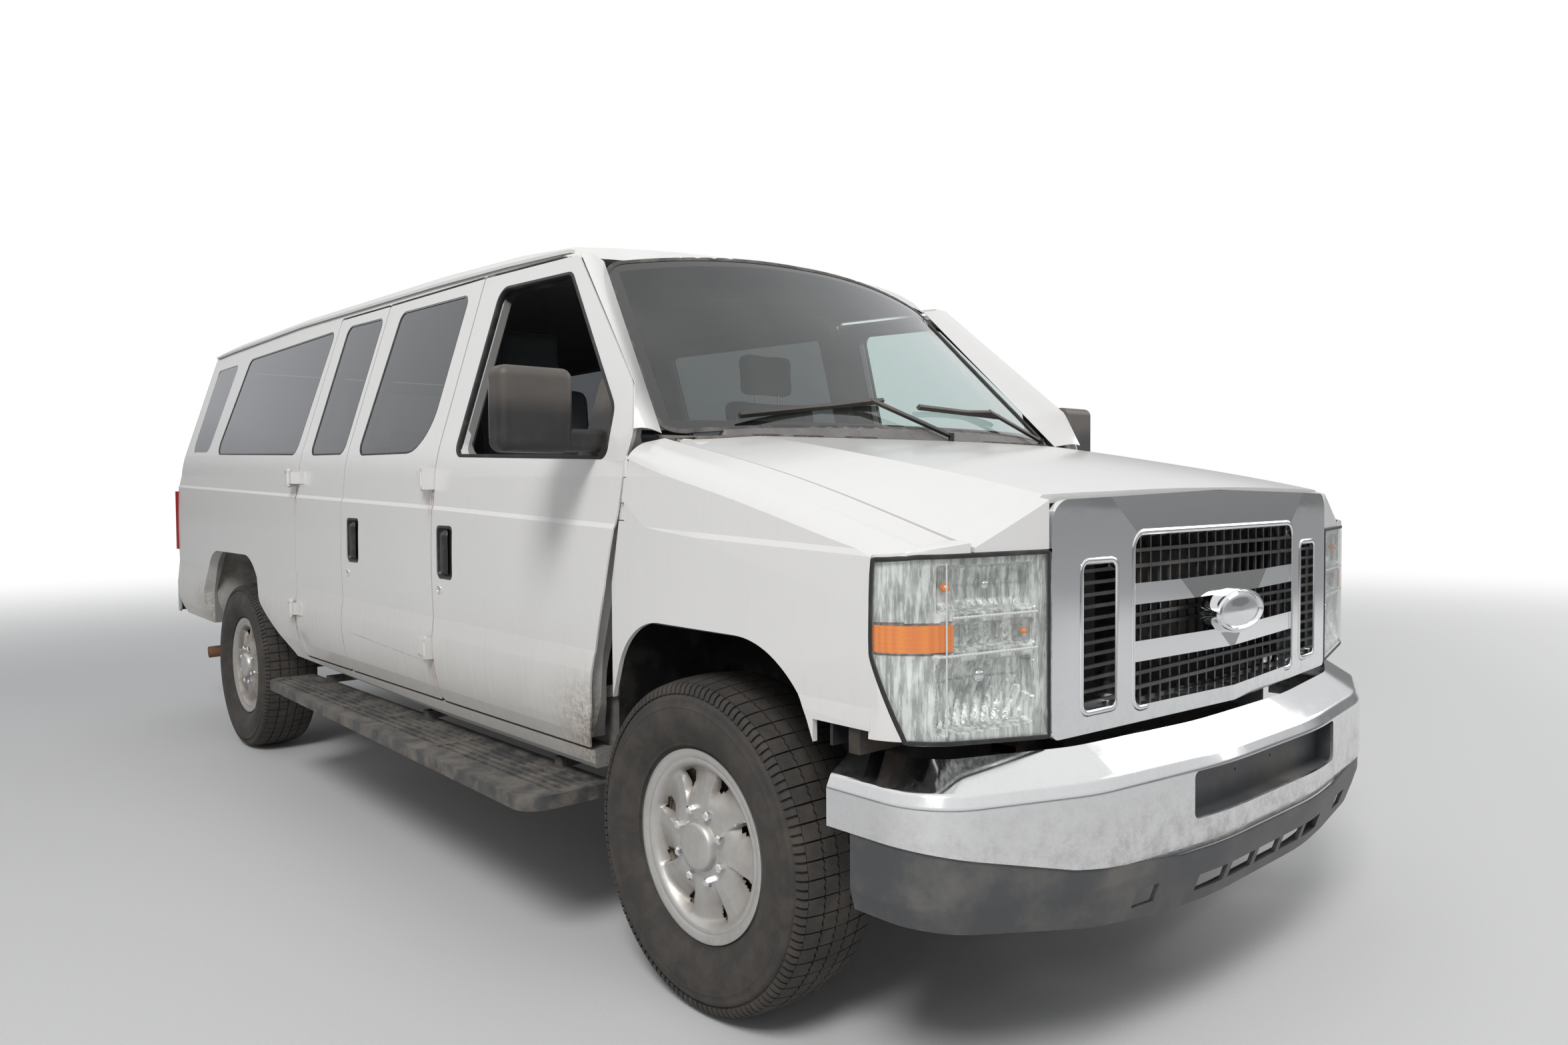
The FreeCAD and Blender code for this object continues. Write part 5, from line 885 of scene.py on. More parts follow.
def tread_pitch():
    """The middle rib, two ribs to each side and two shoulder lugs of one pitch."""
    heap = Heap()
    block(heap, zigzag(-16, 2.6), zigzag(16, 2.6), 0.02, 0.98, 3, 8)
    for sign in (-1, 1):
        inner, outer = sorted((sign * 20.5, sign * 54))
        block(heap, zigzag(inner, 2.6), zigzag(outer, 2.6), 0.05, 0.97, 3, 8)
        inner, outer = sorted((sign * 58.5, sign * 97))
        swings = (2.4, 0.4) if sign > 0 else (0.4, 2.4)
        block(heap, zigzag(inner, swings[0]), zigzag(outer, swings[1]), 0.06, 0.96, 4, 8)
        for t0 in (0.08, 0.58):
            inner, outer = sorted((sign * 98.5, sign * 127))
            block(heap, zigzag(inner, 0.0), zigzag(outer, 0.0), t0, t0 + 0.34, 5, 2)
    return heap


# rows of (x, radius): the outer half from the bead to the middle, then the inner wall
CARCASS_HALF = ((84, 206), (84.6, 221), (90, 229), (96, 231), (99, 238), (101, 240), (110, 255),
                (118.5, 272), (123.4, 290), (122.6, 308), (120.6, 318), (121.4, 320), (120.8, 323),
                (119.2, 325), (116.8, 336), (117.0, 338), (116.2, 341), (113.6, 345), (108, 349),
                (105.0, 358), (101, 366.5), (92, 369.6), (60, 374.0), (25, 377.6), (0, 378.3))
CARCASS_INNER = ((-70, 206), (-108, 288), (-86, 357), (86, 357), (108, 288), (70, 206))


def tyre_mesh():
    rows = list(CARCASS_HALF) + [(-x, r) for x, r in reversed(CARCASS_HALF[:-1])]
    heap = lathe(rows + list(CARCASS_INNER), 144)
    host = bpy.data.meshes.new("tread")
    mesh = grown(RING, host, {"Copy": master(tread_pitch()), "Count": PITCHES}, "tyre")
    heap.add([v.co for v in mesh.vertices], [tuple(p.vertices) for p in mesh.polygons])
    return heap


HUB_HEIGHT, WHEELBASE = TYRE_RADIUS, 3505
WHEELS = (("front_left", 1, 868, 0), ("front_right", -1, 868, 0),
          ("rear_left", 1, 850, WHEELBASE), ("rear_right", -1, 850, WHEELBASE))


def at_wheels(name, heap, finish, replace=None, smooth=40.0):
    """The same shape at each of the four wheels, outside to the outside."""
    for place, sign, track, station in WHEELS:
        hub = at(sign * track, station, HUB_HEIGHT)
        points = [hub + Vector((sign * p.x, p.y, p.z)) for p in heap.points]
        faces = heap.faces if sign > 0 else [tuple(reversed(face)) for face in heap.faces]
        made = piece(name + "_" + place, points, faces, finish, place_body(place), smooth, False)
        if replace:
            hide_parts(replace + "_" + place)


def place_body(place):
    end, side = place.split("_")
    return end + "_wheel_" + side


def outward(heap):
    """The heap with its doubles merged and its faces turned outwards."""
    made = master(heap)
    clean = Heap()
    clean.add([v.co for v in made.data.vertices], [tuple(p.vertices) for p in made.data.polygons])
    bpy.data.objects.remove(made)
    return clean


at_wheels("tyre", outward(tyre_mesh()), "tyre", "tyre", 32.0)
print("four tyres of", PITCHES, "pitches")

# %% [markdown]
# ## Wheel covers
# The cover is moulded plastic in silver: a flat-topped dome, a smooth collar with eight
# capped nuts, and eight turbine blades. Round the cover a blade is a sawtooth: flat, a
# sharp drop on one side, then a slow rise to the next. So the cover is a height over
# radius and angle, and where the drop is deepest near the rim the sheet is left open.

# %% Covers
BLADES = 8
OPEN_FROM, OPEN_TO, OPEN_DROP = 132, 177, 15.5      # radii and depth of the open slots
# rows of (radius, height above the hub's middle)
COVER_RINGS = ((0, 105.2), (30, 105.2), (46, 104.6), (52, 102.6), (56, 98.0), (58, 90.0),
               (60, 84.0), (66, 82.6), (76, 83.2), (90, 83.4), (102, 82.4), (110, 81.2),
               (118, 80.0), (126, 78.8), (134, 77.4), (142, 76.0), (150, 75.0), (158, 74.2),
               (164, 73.8), (169, 73.6), (174, 73.6), (178, 75.0), (182, 79.0), (187, 85.0),
               (193, 88.2), (199, 88.0), (203, 85.0))


def blade_drop(r, share):
    """How far the cover sinks below its ring at a radius and a share of one blade."""
    if r <= 98 or r >= 182:
        return 0.0
    deep = 25.0 * min(1.0, (r - 98) / 46) ** 1.25
    if r > 172:
        deep *= (182 - r) / 10
    share = (share - (r - 98) * 0.0016) % 1.0
    flat = 0.30 - (r - 98) * 0.0009
    if share < flat:
        return 0.0
    if share < flat + 0.05:
        return deep * (share - flat) / 0.05
    return deep * (1 - ((share - flat - 0.05) / (0.95 - flat)) ** 0.85)


def cover_heap(parts=320):
    """The cover's sheet, left open where a blade's drop is deep and near the rim."""
    heap = Heap()
    rows = []
    for r, x in COVER_RINGS:
        rows.append([Vector((x - blade_drop(r, BLADES * i / parts), r * c, r * s)) / 1000
                     for i, (c, s) in enumerate(circle(parts))])
    heap.grid(rows, False, True)
    kept = []
    for face in heap.faces:
        corners = [heap.points[i] * 1000 for i in face]
        r = sum(Vector((p.y, p.z)).length for p in corners) / 4
        ring = min(COVER_RINGS, key=lambda row: abs(row[0] - r))
        drop = ring[1] - sum(p.x for p in corners) / 4
        if not (OPEN_FROM < r < OPEN_TO and drop > OPEN_DROP):
            kept.append(face)
    heap.faces = kept
    return heap


def solid_sheet(heap, thickness):
    """A sheet given a wall, with its doubles merged first."""
    mesh = bpy.data.meshes.new("sheet")
    mesh.from_pydata([tuple(p) for p in heap.points], [], heap.faces)
    work = bmesh.new()
    work.from_mesh(mesh)
    bmesh.ops.remove_doubles(work, verts=work.verts, dist=1e-6)
    bmesh.ops.recalc_face_normals(work, faces=work.faces)
    bmesh.ops.solidify(work, geom=list(work.faces), thickness=thickness)
    clean = Heap()
    work.verts.index_update()
    clean.add([v.co for v in work.verts], [tuple(v.index for v in f.verts) for f in work.faces])
    work.free()
    return clean


def wheel_heap():
    heap = lathe(((93, 217), (92, 221), (84, 221), (84, 206), (60, 206), (44, 182), (-36, 182),
                  (-60, 206), (-84, 206), (-84, 221), (-93, 218), (-93, 208), (-86, 198),
                  (-60, 198), (-36, 175), (44, 175), (60, 198), (86, 198), (93, 209)), 128)
    dish = lathe(((12, 21), (12, 120), (34, 176), (40, 176), (20, 118), (20, 62), (66, 52),
                  (66, 21)), 48)
    heap.add(dish.points, dish.faces)
    cover = solid_sheet(cover_heap(), 0.0026)
    heap.add(cover.points, cover.faces)
    return outward(heap)


at_wheels("wheel", wheel_heap(), "silver_cover", "wheel", 35.0)


# %% Lug caps and valve
def ringed(rows, parts):
    """A small turned fitting about Z, from rows of (radius, height) in millimetres."""
    heap = Heap()
    rings = [[Vector((r * c, r * s, z)) / 1000 for r, z in rows] for c, s in circle(parts)]
    heap.grid(rings, True)
    return heap


def lug_cap():
    """A hexagonal cap with a chamfered top, lying along X at its place on the circle."""
    heap = ringed(((0, 97), (7.5, 97), (11, 93.5), (12.4, 80), (14.5, 80), (14.5, 76)), 6)
    heap.points = [Vector((p.z, p.x + 0.0825 * math.cos(math.pi / 8),
                           p.y + 0.0825 * math.sin(math.pi / 8))) for p in heap.points]
    return heap


def lug_heap():
    mesh = grown(RING, bpy.data.meshes.new("caps"), {"Copy": master(lug_cap()), "Count": BLADES},
                 "chrome")
    heap = Heap()
    heap.add([v.co for v in mesh.vertices], [tuple(p.vertices) for p in mesh.polygons])
    valve = ringed(((0, 100), (3.4, 99), (3.8, 92), (3.2, 91), (3.4, 70)), 10)
    heap.add([Vector((p.z, p.x + 0.166 * math.cos(2.62), p.y + 0.166 * math.sin(2.62)))
              for p in valve.points], valve.faces)
    return outward(heap)


at_wheels("lug_caps", lug_heap(), "chrome", None, 25.0)
print("wheels dressed")

# %% [markdown]
# ## Headlamps
# A lamp is a clear lens that carries on the nose's skin round its corner, and a plated
# bucket behind it with three chambers: the turn signal on top, a fluted strip in the
# middle with an amber marker at its outer end, and the main beam below, whose flutes
# lean. The lens follows one plan curve, so a place on the lamp is a length along that
# curve and a height, and a chamber is a depth behind it. These replace the plain solids,
# which end short of the nose's face.

# %% The nose's plan
LAMP_IN, LAMP_REAR, LAMP_TOP = 662.0, -587.0, 1074.0


def nose_plan(step=3.0):
    """Points (x, y) and outward directions of the nose, from the grille round the corner."""
    bend = rounded(((560, -762, 0), (1009, -674, 140), (1009, -300, 0)), 3.0)
    line = []
    for a, b in zip(bend, bend[1:]):
        steps = max(1, int((b - a).length / step))
        line += [a + (b - a) * k / steps for k in range(steps)]
    line = [p for p in line if p.x >= LAMP_IN and p.y <= -520]
    ways = []
    for i, p in enumerate(line):
        ahead = (line[min(i + 1, len(line) - 1)] - line[max(i - 1, 0)]).normalized()
        ways.append(Vector((ahead.y, -ahead.x)))
    return line, ways


PLAN, PLAN_WAYS = nose_plan()
# rows of (height, half width) of the body's side beside the lamp
SIDE_X = ((735, 1006.5), (793, 1001), (862, 1004.5), (930, 1006), (1000, 1004.5), (1073, 1001))


def along_rows(rows, v):
    """A value between the rows of a table of (place, value)."""
    v = min(max(v, rows[0][0]), rows[-1][0])
    for (a, fa), (b, fb) in zip(rows, rows[1:]):
        if a <= v <= b:
            return fa + (fb - fa) * (v - a) / (b - a)
    return rows[-1][1]


def lamp_end(z):
    """The station where the lens ends at a height; its lower rear edge leans forward."""
    return LAMP_REAR - 60.0 * min(1.0, max(0.0, (893 - z) / 153.0))


def lamp_low(x):
    """The height of the lens's lower edge; lamp_high gives its upper one."""
    return 716 + (min(x, 955) - 661) * 0.0714 + max(0.0, x - 955) * 0.07


def lamp_high(x):
    return LAMP_TOP - max(0.0, x - 960) * 0.12


def lamp_share(z):
    """How many plan points the lens spans at a height."""
    end = lamp_end(z)
    for i, p in enumerate(PLAN):
        if p.y > end:
            return i - 1 + (end - PLAN[i - 1].y) / (p.y - PLAN[i - 1].y)
    return len(PLAN) - 1.0


def on_nose(place, z, depth=0.0, sign=1):
    """A point of the lamp: a place along the plan, a height and a depth."""
    i = min(int(place), len(PLAN) - 2)
    share = place - i
    p = PLAN[i].lerp(PLAN[i + 1], share)
    way = PLAN_WAYS[i].lerp(PLAN_WAYS[i + 1], share).normalized()
    x = min(p.x, along_rows(SIDE_X, z)) - way.x * depth
    return at(sign * x, p.y - way.y * depth, z)


def nose_way(place, sign=1):
    way = PLAN_WAYS[min(int(place), len(PLAN) - 1)]
    return Vector((sign * way.x, way.y, 0))


def lamp_grid(depth, columns, lines, z0=None, z1=None, start=0.0):
    """A sheet over the lamp's outline, at a depth that may vary with place and height."""
    heap = Heap()
    rows = []
    for k in range(lines + 1):
        row = []
        for j in range(columns + 1):
            share = k / lines
            z = 900.0
            for _ in range(3):
                place = start + (lamp_share(z) - start) * j / columns
                x = PLAN[min(int(place), len(PLAN) - 1)].x
                low, high = z0 or lamp_low(x), z1 or lamp_high(x)
                z = low + (high - low) * share
            row.append(on_nose(place, z, depth(x, place, z) if callable(depth) else depth))
        rows.append(row)
    heap.grid(rows)
    return heap


def two_sided(name, heap, finish, body="body", smooth=40.0, thickness=None, replace=None):
    """The shape for the left of the van and its mirror image, as one piece."""
    if thickness:
        heap = solid_sheet(heap, thickness)
    else:
        heap = outward(heap)
    heap.mirrored()
    made = piece(name, heap.points, heap.faces, finish, body, smooth, False)
    if replace:
        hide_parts(replace)
    return made


print("nose plan of", len(PLAN), "points")


# %% Lens, bucket and marker
def edge_step(v, low, high, soft=7.0):
    """1 between two limits, with sloping walls outside them."""
    return min(1.0, max(0.0, (v - low) / soft + 1)) * min(1.0, max(0.0, (high - v) / soft + 1))


# rows of (x, x, height, height) of the three chambers
SIGNAL, STRIP, BEAM = (700, 922, 976, 1052), (700, 884, 906, 944), (704, 922, 752, 872)
BUCKET_FACE = 8.0             # depth of the bucket's face behind the lens


def within(chamber, x, z):
    x0, x1, z0, z1 = chamber
    return edge_step(x, x0, x1) * edge_step(z, z0, z1)


def bucket_depth(x, place, z):
    """How far behind the nose's skin the bucket lies: face, chambers and their flutes."""
    depth = BUCKET_FACE
    u, v = (x - 808) / 120, (z - 1015) / 46
    room = within(SIGNAL, x, z)
    facet = 5.0 * abs(math.sin(math.pi * (x - 700) / 26)) + 2.4 * abs(math.sin(z / 9))
    depth += room * (26 + 20 * max(0.0, 1 - u * u * 0.8) * max(0.0, 1 - v * v * 0.7) - facet)
    room = within(STRIP, x, z)
    wave = 8.0 * abs(((x + 1.2 * (z - 906)) / 23) % 1.0 - 0.5) + 2.5 * abs(math.sin(z / 4.2))
    depth += room * (24 - wave)
    u, v = (x - 812) / 118, (z - 812) / 68
    room = within(BEAM, x, z)
    lean = ((x - 700) + 0.5 * (z - 752)) / 24
    flute = (6.5 * abs(math.sin(math.pi * lean))) if z < 838 else 1.0 * abs(math.sin(x / 11))
    depth += room * (24 + 34 * max(0.0, 1 - u * u) * max(0.0, 1 - v * v * 0.8) - flute)
    if x > 893 and 896 < z < 954:
        depth += 6.0
    return depth


two_sided("headlamp_lens", lamp_grid(0.5, 90, 46), "lamp_glass", "body", 50.0, 0.0035,
          "headlamp_lenses")
two_sided("headlamp_bucket", lamp_grid(bucket_depth, 130, 116), "reflector", "body", 30.0, 0.002,
          "headlamp_buckets")
marker_start = next(i for i, p in enumerate(PLAN) if p.x > 893)
two_sided("amber_marker", lamp_grid(lambda x, place, z: 5.5 + 0.8 * abs(math.sin(z / 2.6)),
                                    60, 24, 900, 950, float(marker_start)),
          "amber", "body", 30.0, 0.003)


# %% Bulbs, ribs of the lens and gasket
def ball(centre, radius, parts=16, squash=1.0):
    heap = Heap()
    profile = [(radius * math.sin(math.pi * k / 8), -radius * squash * math.cos(math.pi * k / 8))
                for k in range(9)]
    heap.grid([[centre + Vector((r * c, y, r * s)) for c, s in circle(parts)]
               for r, y in profile], False, True)
    return heap


def place_of(x):
    return float(next(i for i, p in enumerate(PLAN) if p.x >= x))


def lamp_line(points, radius, flat=0.7, closed=False, lift=0.0):
    """A rounded strip along places on the nose, given as (place, height)."""
    line = [on_nose(place, z) for place, z in points]
    ways = [nose_way(place) for place, z in points]
    return swept(line, ways, round_profile(radius, 8, lift, flat), closed)


bulbs = Heap()
shields = Heap()
for heap, parts, squash, rows in (
        (bulbs, 14, 1.3, ((900, 1016, 24, 0.0085), (716, 924, 16, 0.006))),
        (shields, 18, 0.8, ((812, 846, 34, 0.014), (800, 1018, 30, 0.009)))):
    for x, z, depth, radius in rows:
        shape = ball(on_nose(place_of(x), z, depth), radius, parts, squash)
        heap.add(shape.points, shape.faces)
two_sided("amber_bulbs", bulbs, "amber")
two_sided("bulb_shields", shields, "chrome")


def outline_places(grow=0.0):
    """The lens outline as (place, height), all the way round."""
    points = []
    last = lamp_share(1040)
    for j in range(61):
        place = last * j / 60
        points.append((place, lamp_high(PLAN[int(place)].x) + grow))
    for k in range(1, 40):
        z = 1052 - (1052 - 742) * k / 40
        points.append((min(lamp_share(z) + grow / 3.0, len(PLAN) - 1), z))
    last = lamp_share(742)
    for j in range(61):
        place = last * (60 - j) / 60
        points.append((place, lamp_low(PLAN[int(place)].x) - grow))
    return points


gasket = lamp_line(outline_places(2.0), 4.6, 0.55, True, -1.5)
two_sided("lamp_gasket", gasket, "rubber_seal")
ribs = Heap()
for z0, x0, x1 in ((962, 690, 900), (892, 690, 940)):
    a, b = place_of(x0), place_of(x1)
    strip = lamp_line([(a + (b - a) * k / 30, z0) for k in range(31)], 2.6, 0.4, False, -1.0)
    ribs.add(strip.points, strip.faces)
upright = [(place_of(912), 745 + 320 * k / 30) for k in range(31)]
strip = lamp_line(upright, 2.0, 0.4, False, -1.0)
ribs.add(strip.points, strip.faces)
two_sided("lens_ribs", ribs, "white_lens")


# %% Fender corners by the lamps
LIP_ROWS = ((848, 1100), (925, 1092), (960, 1086), (985, 1079), (1007, 1075))    # x, height


def corner_skin():
    """The fender's lip over the lamp, and its leaning edge below, out to the nose's face."""
    heap = Heap()
    last = lamp_share(1040)
    first = place_of(857)
    rows = []
    for k in range(3):
        rows.append([])
        for j in range(31):
            place = first + (last - first) * j / 30
            x = PLAN[int(place)].x
            high = along_rows(LIP_ROWS, x)
            low = lamp_high(x) + 6
            rows[-1].append(on_nose(place, low + (high - low) * k / 2, 1.5))
    back = []
    for p in rows[-1]:
        back.append(Vector((p.x, max(p.y, AXLE - 0.648), p.z + 0.004)))
    rows.append([p.lerp(q, 0.12) + Vector((0, 0, 0.002)) for p, q in zip(rows[-1], back)])
    rows.append(back)
    heap.grid(rows)
    rows = []
    for k in range(25):
        z = 738 + (893 - 738) * k / 24
        a, b = lamp_share(z) + 2.4, next(i for i, p in enumerate(PLAN) if p.y > -582)
        rows.append([on_nose(a + (b - a) * j / 8 if b > a else b, z, 0.6) for j in range(9)])
    heap.grid(rows)
    return heap


two_sided("fender_corners", corner_skin(), "plain_paint", "body", 40.0, 0.002)
print("lamps done")

# %% [markdown]
# ## Grille trim and plain badge
# The plated surround has a rolled lip round each opening and a stepped ring round the
# blank badge in its middle. Each is a rounded profile swept along its outline, dropped
# onto the surround by rays from the front.

# %% Lips
def front_line(rows, node, offset=0.0, step=6.0):
    """An outline (x, z) in millimetres laid on the front of a node."""
    line, normals = [], []
    flat = rounded(rows, step)
    for i, p in enumerate(flat):
        ahead = (flat[(i + 1) % len(flat)] - flat[i - 1]).normalized()
        q = p + Vector((ahead.y, -ahead.x)) * offset
        hit, normal = meets(node, at(q.x, -1100, q.y), (0, 1, 0))
        if hit is not None:
            line.append(hit)
            normals.append(normal)
    return line, normals


GRILLE_CENTRE = ((-385, 738, 20), (385, 738, 20), (385, 1098, 30), (-385, 1098, 30))
GRILLE_SIDE = ((455, 750, 12), (558, 750, 12), (558, 1045, 12), (455, 1045, 12))
lips = Heap()
for rows in (GRILLE_CENTRE, GRILLE_SIDE, tuple((-x, z, r) for x, z, r in reversed(GRILLE_SIDE))):
    line, normals = front_line(rows, "grille_surround", 7.0)
    if len(line) > 8:
        shape = swept(line, normals, round_profile(6.5, 10, -0.8, 0.55))
        lips.add(shape.points, shape.faces)
piece("grille_lips", lips.points, lips.faces, "chrome", "body")


BADGE_HEIGHT = 912


def oval(a, b, y):
    return [at(a * c, y, BADGE_HEIGHT + b * s) for c, s in circle(96)]


badge = Heap()
badge.grid([oval(a, b, y) for a, b, y in ((117, 49.5, -790), (117, 49.5, -808), (112, 46, -816),
                                          (104, 40, -818), (99, 36, -814), (97, 34.5, -811.5),
                                          (94, 33, -811.5), (60, 21, -814), (0.1, 0.1, -815.5))],
           False, True)
piece("badge", badge.points, badge.faces, "chrome", "body", 30.0)

# %% [markdown]
# ## Seals and window frames
# Rubber closes every pane. The windshield sits in a wide grey moulding, the other panes
# in thin black ones, and the open right front window shows its dark frame and the run
# channel that the glass slides in. Each strip follows the rim of the pane it closes, read
# from the solid, so it needs no table of its own.

# %% Seals
WIND_OUT = (0, -SLOPE.z, SLOPE.y)
FLAT_SEAL = ((-9, -1.5), (-9, 1.6), (-6, 3.0), (3, 3.2), (7, 1.4), (7, -1.5))
seal("windshield_moulding", "windshield", WIND_OUT, FLAT_SEAL, "grey_seal", "body")
THIN = ((-4.5, -1.0), (-4.5, 2.6), (-2.5, 3.4), (2.5, 2.2), (4.0, -1.0))
RIGHT, LEFT, REAR = (-1, 0, 0.2), (1, 0, 0.2), (0, 1, 0.2)
seal("seal_cargo_front", "cargo_front_glass", RIGHT, THIN, "rubber_seal", "cargo_front_leaf")
seal("seal_cargo_rear", "cargo_rear_glass", RIGHT, THIN, "rubber_seal", "cargo_rear_leaf")
for which in (0, 1):
    seal("seal_side_right_%d" % which, "side_glass", RIGHT, THIN, "rubber_seal", "body", which)
for which in (0, 1, 2):
    seal("seal_side_left_%d" % which, "side_glass", LEFT, THIN, "rubber_seal", "body", which)
seal("seal_rear_left", "rear_glass_left", REAR, THIN, "rubber_seal", "rear_door_left")
seal("seal_rear_right", "rear_glass_right", REAR, THIN, "rubber_seal", "rear_door_right")


def window_frame(name, node, out, body):
    """The dark frame round a front door's window opening, with a wall into the door."""
    for length, line, normals in rims(node, out):
        z = [p.z for p in line]
        if min(z) > 1.2 and length > 1.5:
            profile = ((-1, -44), (-1, 1.0), (1.0, 2.0), (8, 2.2), (9, 1.0), (9, -14), (5, -20),
                       (5, -44))
            shape = swept(line, normals, [(u - 7.5, v) for u, v in profile])
            return piece(name, shape.points, shape.faces, "rubber_seal", body)
    return None


window_frame("window_frame_right", "front_door_right", RIGHT, "front_door_right")
window_frame("window_frame_left", "front_door_left", LEFT, "front_door_left")
print("seals done")

# %% [markdown]
# ## Windshield pillars
# A white pillar stands between each front door and the windshield's black border. It is
# one pressed skin from the door's seam round to the moulding. Its outer edge follows the
# door's leaning front edge and its inner edge follows the glass, so the skin is a strip
# between the two lines, crowned between them, with a thin wall.

# %% Pillar skins
def glass_edge(s, beyond):
    """A point beside the glass, a distance up its slope."""
    x = (PANE_HALF - (s / 1000 - PANE_FROM) * PANE_TAPER) * 1000 + beyond
    bend = 3300 - 700 * s / 815
    fall = bend - math.sqrt(bend * bend - x * x)
    return Vector((x, 110 + SLOPE.y * s + SLOPE.z * fall, 1352 + SLOPE.z * s - SLOPE.y * fall))


def door_edge(z):
    rows = ((1345, 234), (1465, 278), (1872, 722), (1880, 731))
    y = along_rows(rows, z) - 7.0
    return Vector((970 - (z - 1346) * 0.305 - 1.5, y, z))


heap = Heap()
rows = []
for k in range(41):
    share = k / 40
    inner, outer = glass_edge(100 + 712 * share, 9.0), door_edge(1349 + 525 * share)
    row = []
    for j in range(9):
        t = j / 8
        p = inner.lerp(outer, t) + Vector((0.62, -0.66, 0.42)) * 15.0 * math.sin(math.pi * t)
        row.append(at(*p))
    rows.append(row)
heap.grid(rows)
two_sided("pillar_skins", heap, "plain_paint", "body", 40.0, 0.0018)

# %% [markdown]
# ## Seats
# Two front seats and three benches, all foam under stretched grey cloth. A cushion is a
# block with rounded edges whose top is crowned, whose sides pull in between the corners,
# and whose cover is drawn down along sewn channels. The block is mapped into the side
# view's four corners, so a leaning back and a flat cushion come from one helper. A welt
# follows the seam round each top.

# %% Cushion
CHANNEL_WIDTH = 9.0
SIDE_PULL, END_PULL = 7.0, 7.0        # how far the outline draws in between its corners
SIDE_SWELL, END_SWELL = 6.0, 5.0      # how far the edges swell between top and bottom
CREASE, CREASE_SCALE = 2.2, 0.013
CELLS_DEEP = 12
SEAM_HEIGHT = 0.80                    # where the welt runs, as a share of the half depth


def cushion_point(half, radius, crown, channels, a, b, c):
    """A point and an outward direction of a padded block, before it is fitted."""
    raw = Vector((a * half[0], b * half[1], c * half[2]))
    core = Vector([max(-h + radius, min(h - radius, v)) for h, v in zip(half, raw)])
    way = (raw - core).normalized()
    p = core + way * radius
    u, v, w = (p[i] / half[i] for i in range(3))
    top = max(0.0, way.z)
    p.z += crown * (1 - u * u) * (1 - v * v) * top
    for axis, place, depth in channels:
        p.z -= depth * math.exp(-((p[axis] - place) / CHANNEL_WIDTH) ** 2) * top
    p.x -= way.x * (SIDE_PULL * (1 - v * v) - SIDE_SWELL * (1 - w * w))
    p.y -= way.y * (END_PULL * (1 - u * u) - END_SWELL * (1 - w * w))
    crease = noise.noise(p * CREASE_SCALE) * CREASE
    return p + way * crease * (0.4 + 0.6 * max(abs(u), abs(v))), way


def cushion(name, corners, x0, x1, crown=26.0, channels=(), radius=36.0, replace=None, cells=34):
    """A padded piece fitted between four side-view corners and two stations across."""
    low0, low1, top1, top0 = (Vector(corner) for corner in corners)
    half = ((x1 - x0) / 2, ((low1 - low0).length + (top1 - top0).length) / 4,
            ((top0 - low0).length + (top1 - low1).length) / 4)
    radius = min(radius, half[2] * 0.8)

    def fitted(p):
        v, w = p.y / half[1], p.z / half[2]
        side = (low0 * (1 - v) * (1 - w) + low1 * (1 + v) * (1 - w) + top1 * (1 + v) * (1 + w)
                + top0 * (1 - v) * (1 + w)) / 4
        return at((x0 + x1) / 2 + p.x, side.x, side.y)

    heap = Heap()
    for axis, sides in ((0, (1, 2)), (1, (2, 0)), (2, (0, 1))):
        for end in (-1.0, 1.0):
            counts = [CELLS_DEEP if k == 2 else cells for k in sides]
            rows = []
            for i in range(counts[0] + 1):
                row = []
                for j in range(counts[1] + 1):
                    place = [0.0, 0.0, 0.0]
                    place[axis] = end
                    place[sides[0]] = -1 + 2 * i / counts[0]
                    place[sides[1]] = -1 + 2 * j / counts[1]
                    row.append(fitted(cushion_point(half, radius, crown, channels, *place)[0]))
                rows.append(row)
            heap.grid(rows)
    made = piece(name, heap.points, heap.faces, "seat_fabric", "body", 60.0)
    if replace:
        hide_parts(replace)
    steps = [-1 + 2 * k / 24 for k in range(24)]
    ring = ([(1, t) for t in steps] + [(-t, 1) for t in steps]
            + [(-1, -t) for t in steps] + [(t, -1) for t in steps])
    line, ways = [], []
    for a, b in ring:
        p, way = cushion_point(half, radius, crown, channels, a, b, SEAM_HEIGHT)
        line.append(fitted(p))
        ways.append((fitted(p + way * 5.0) - fitted(p)).normalized())
    return swept(line, ways, round_profile(3.4, 8, 0.6))


welts = Heap()


def seated(*given, **more):
    """A cushion, with its welt kept for the one piece that holds them all."""
    shape = cushion(*given, **more)
    welts.add(shape.points, shape.faces)


SEAT_OUT = 565                # a front seat's middle, from the van's


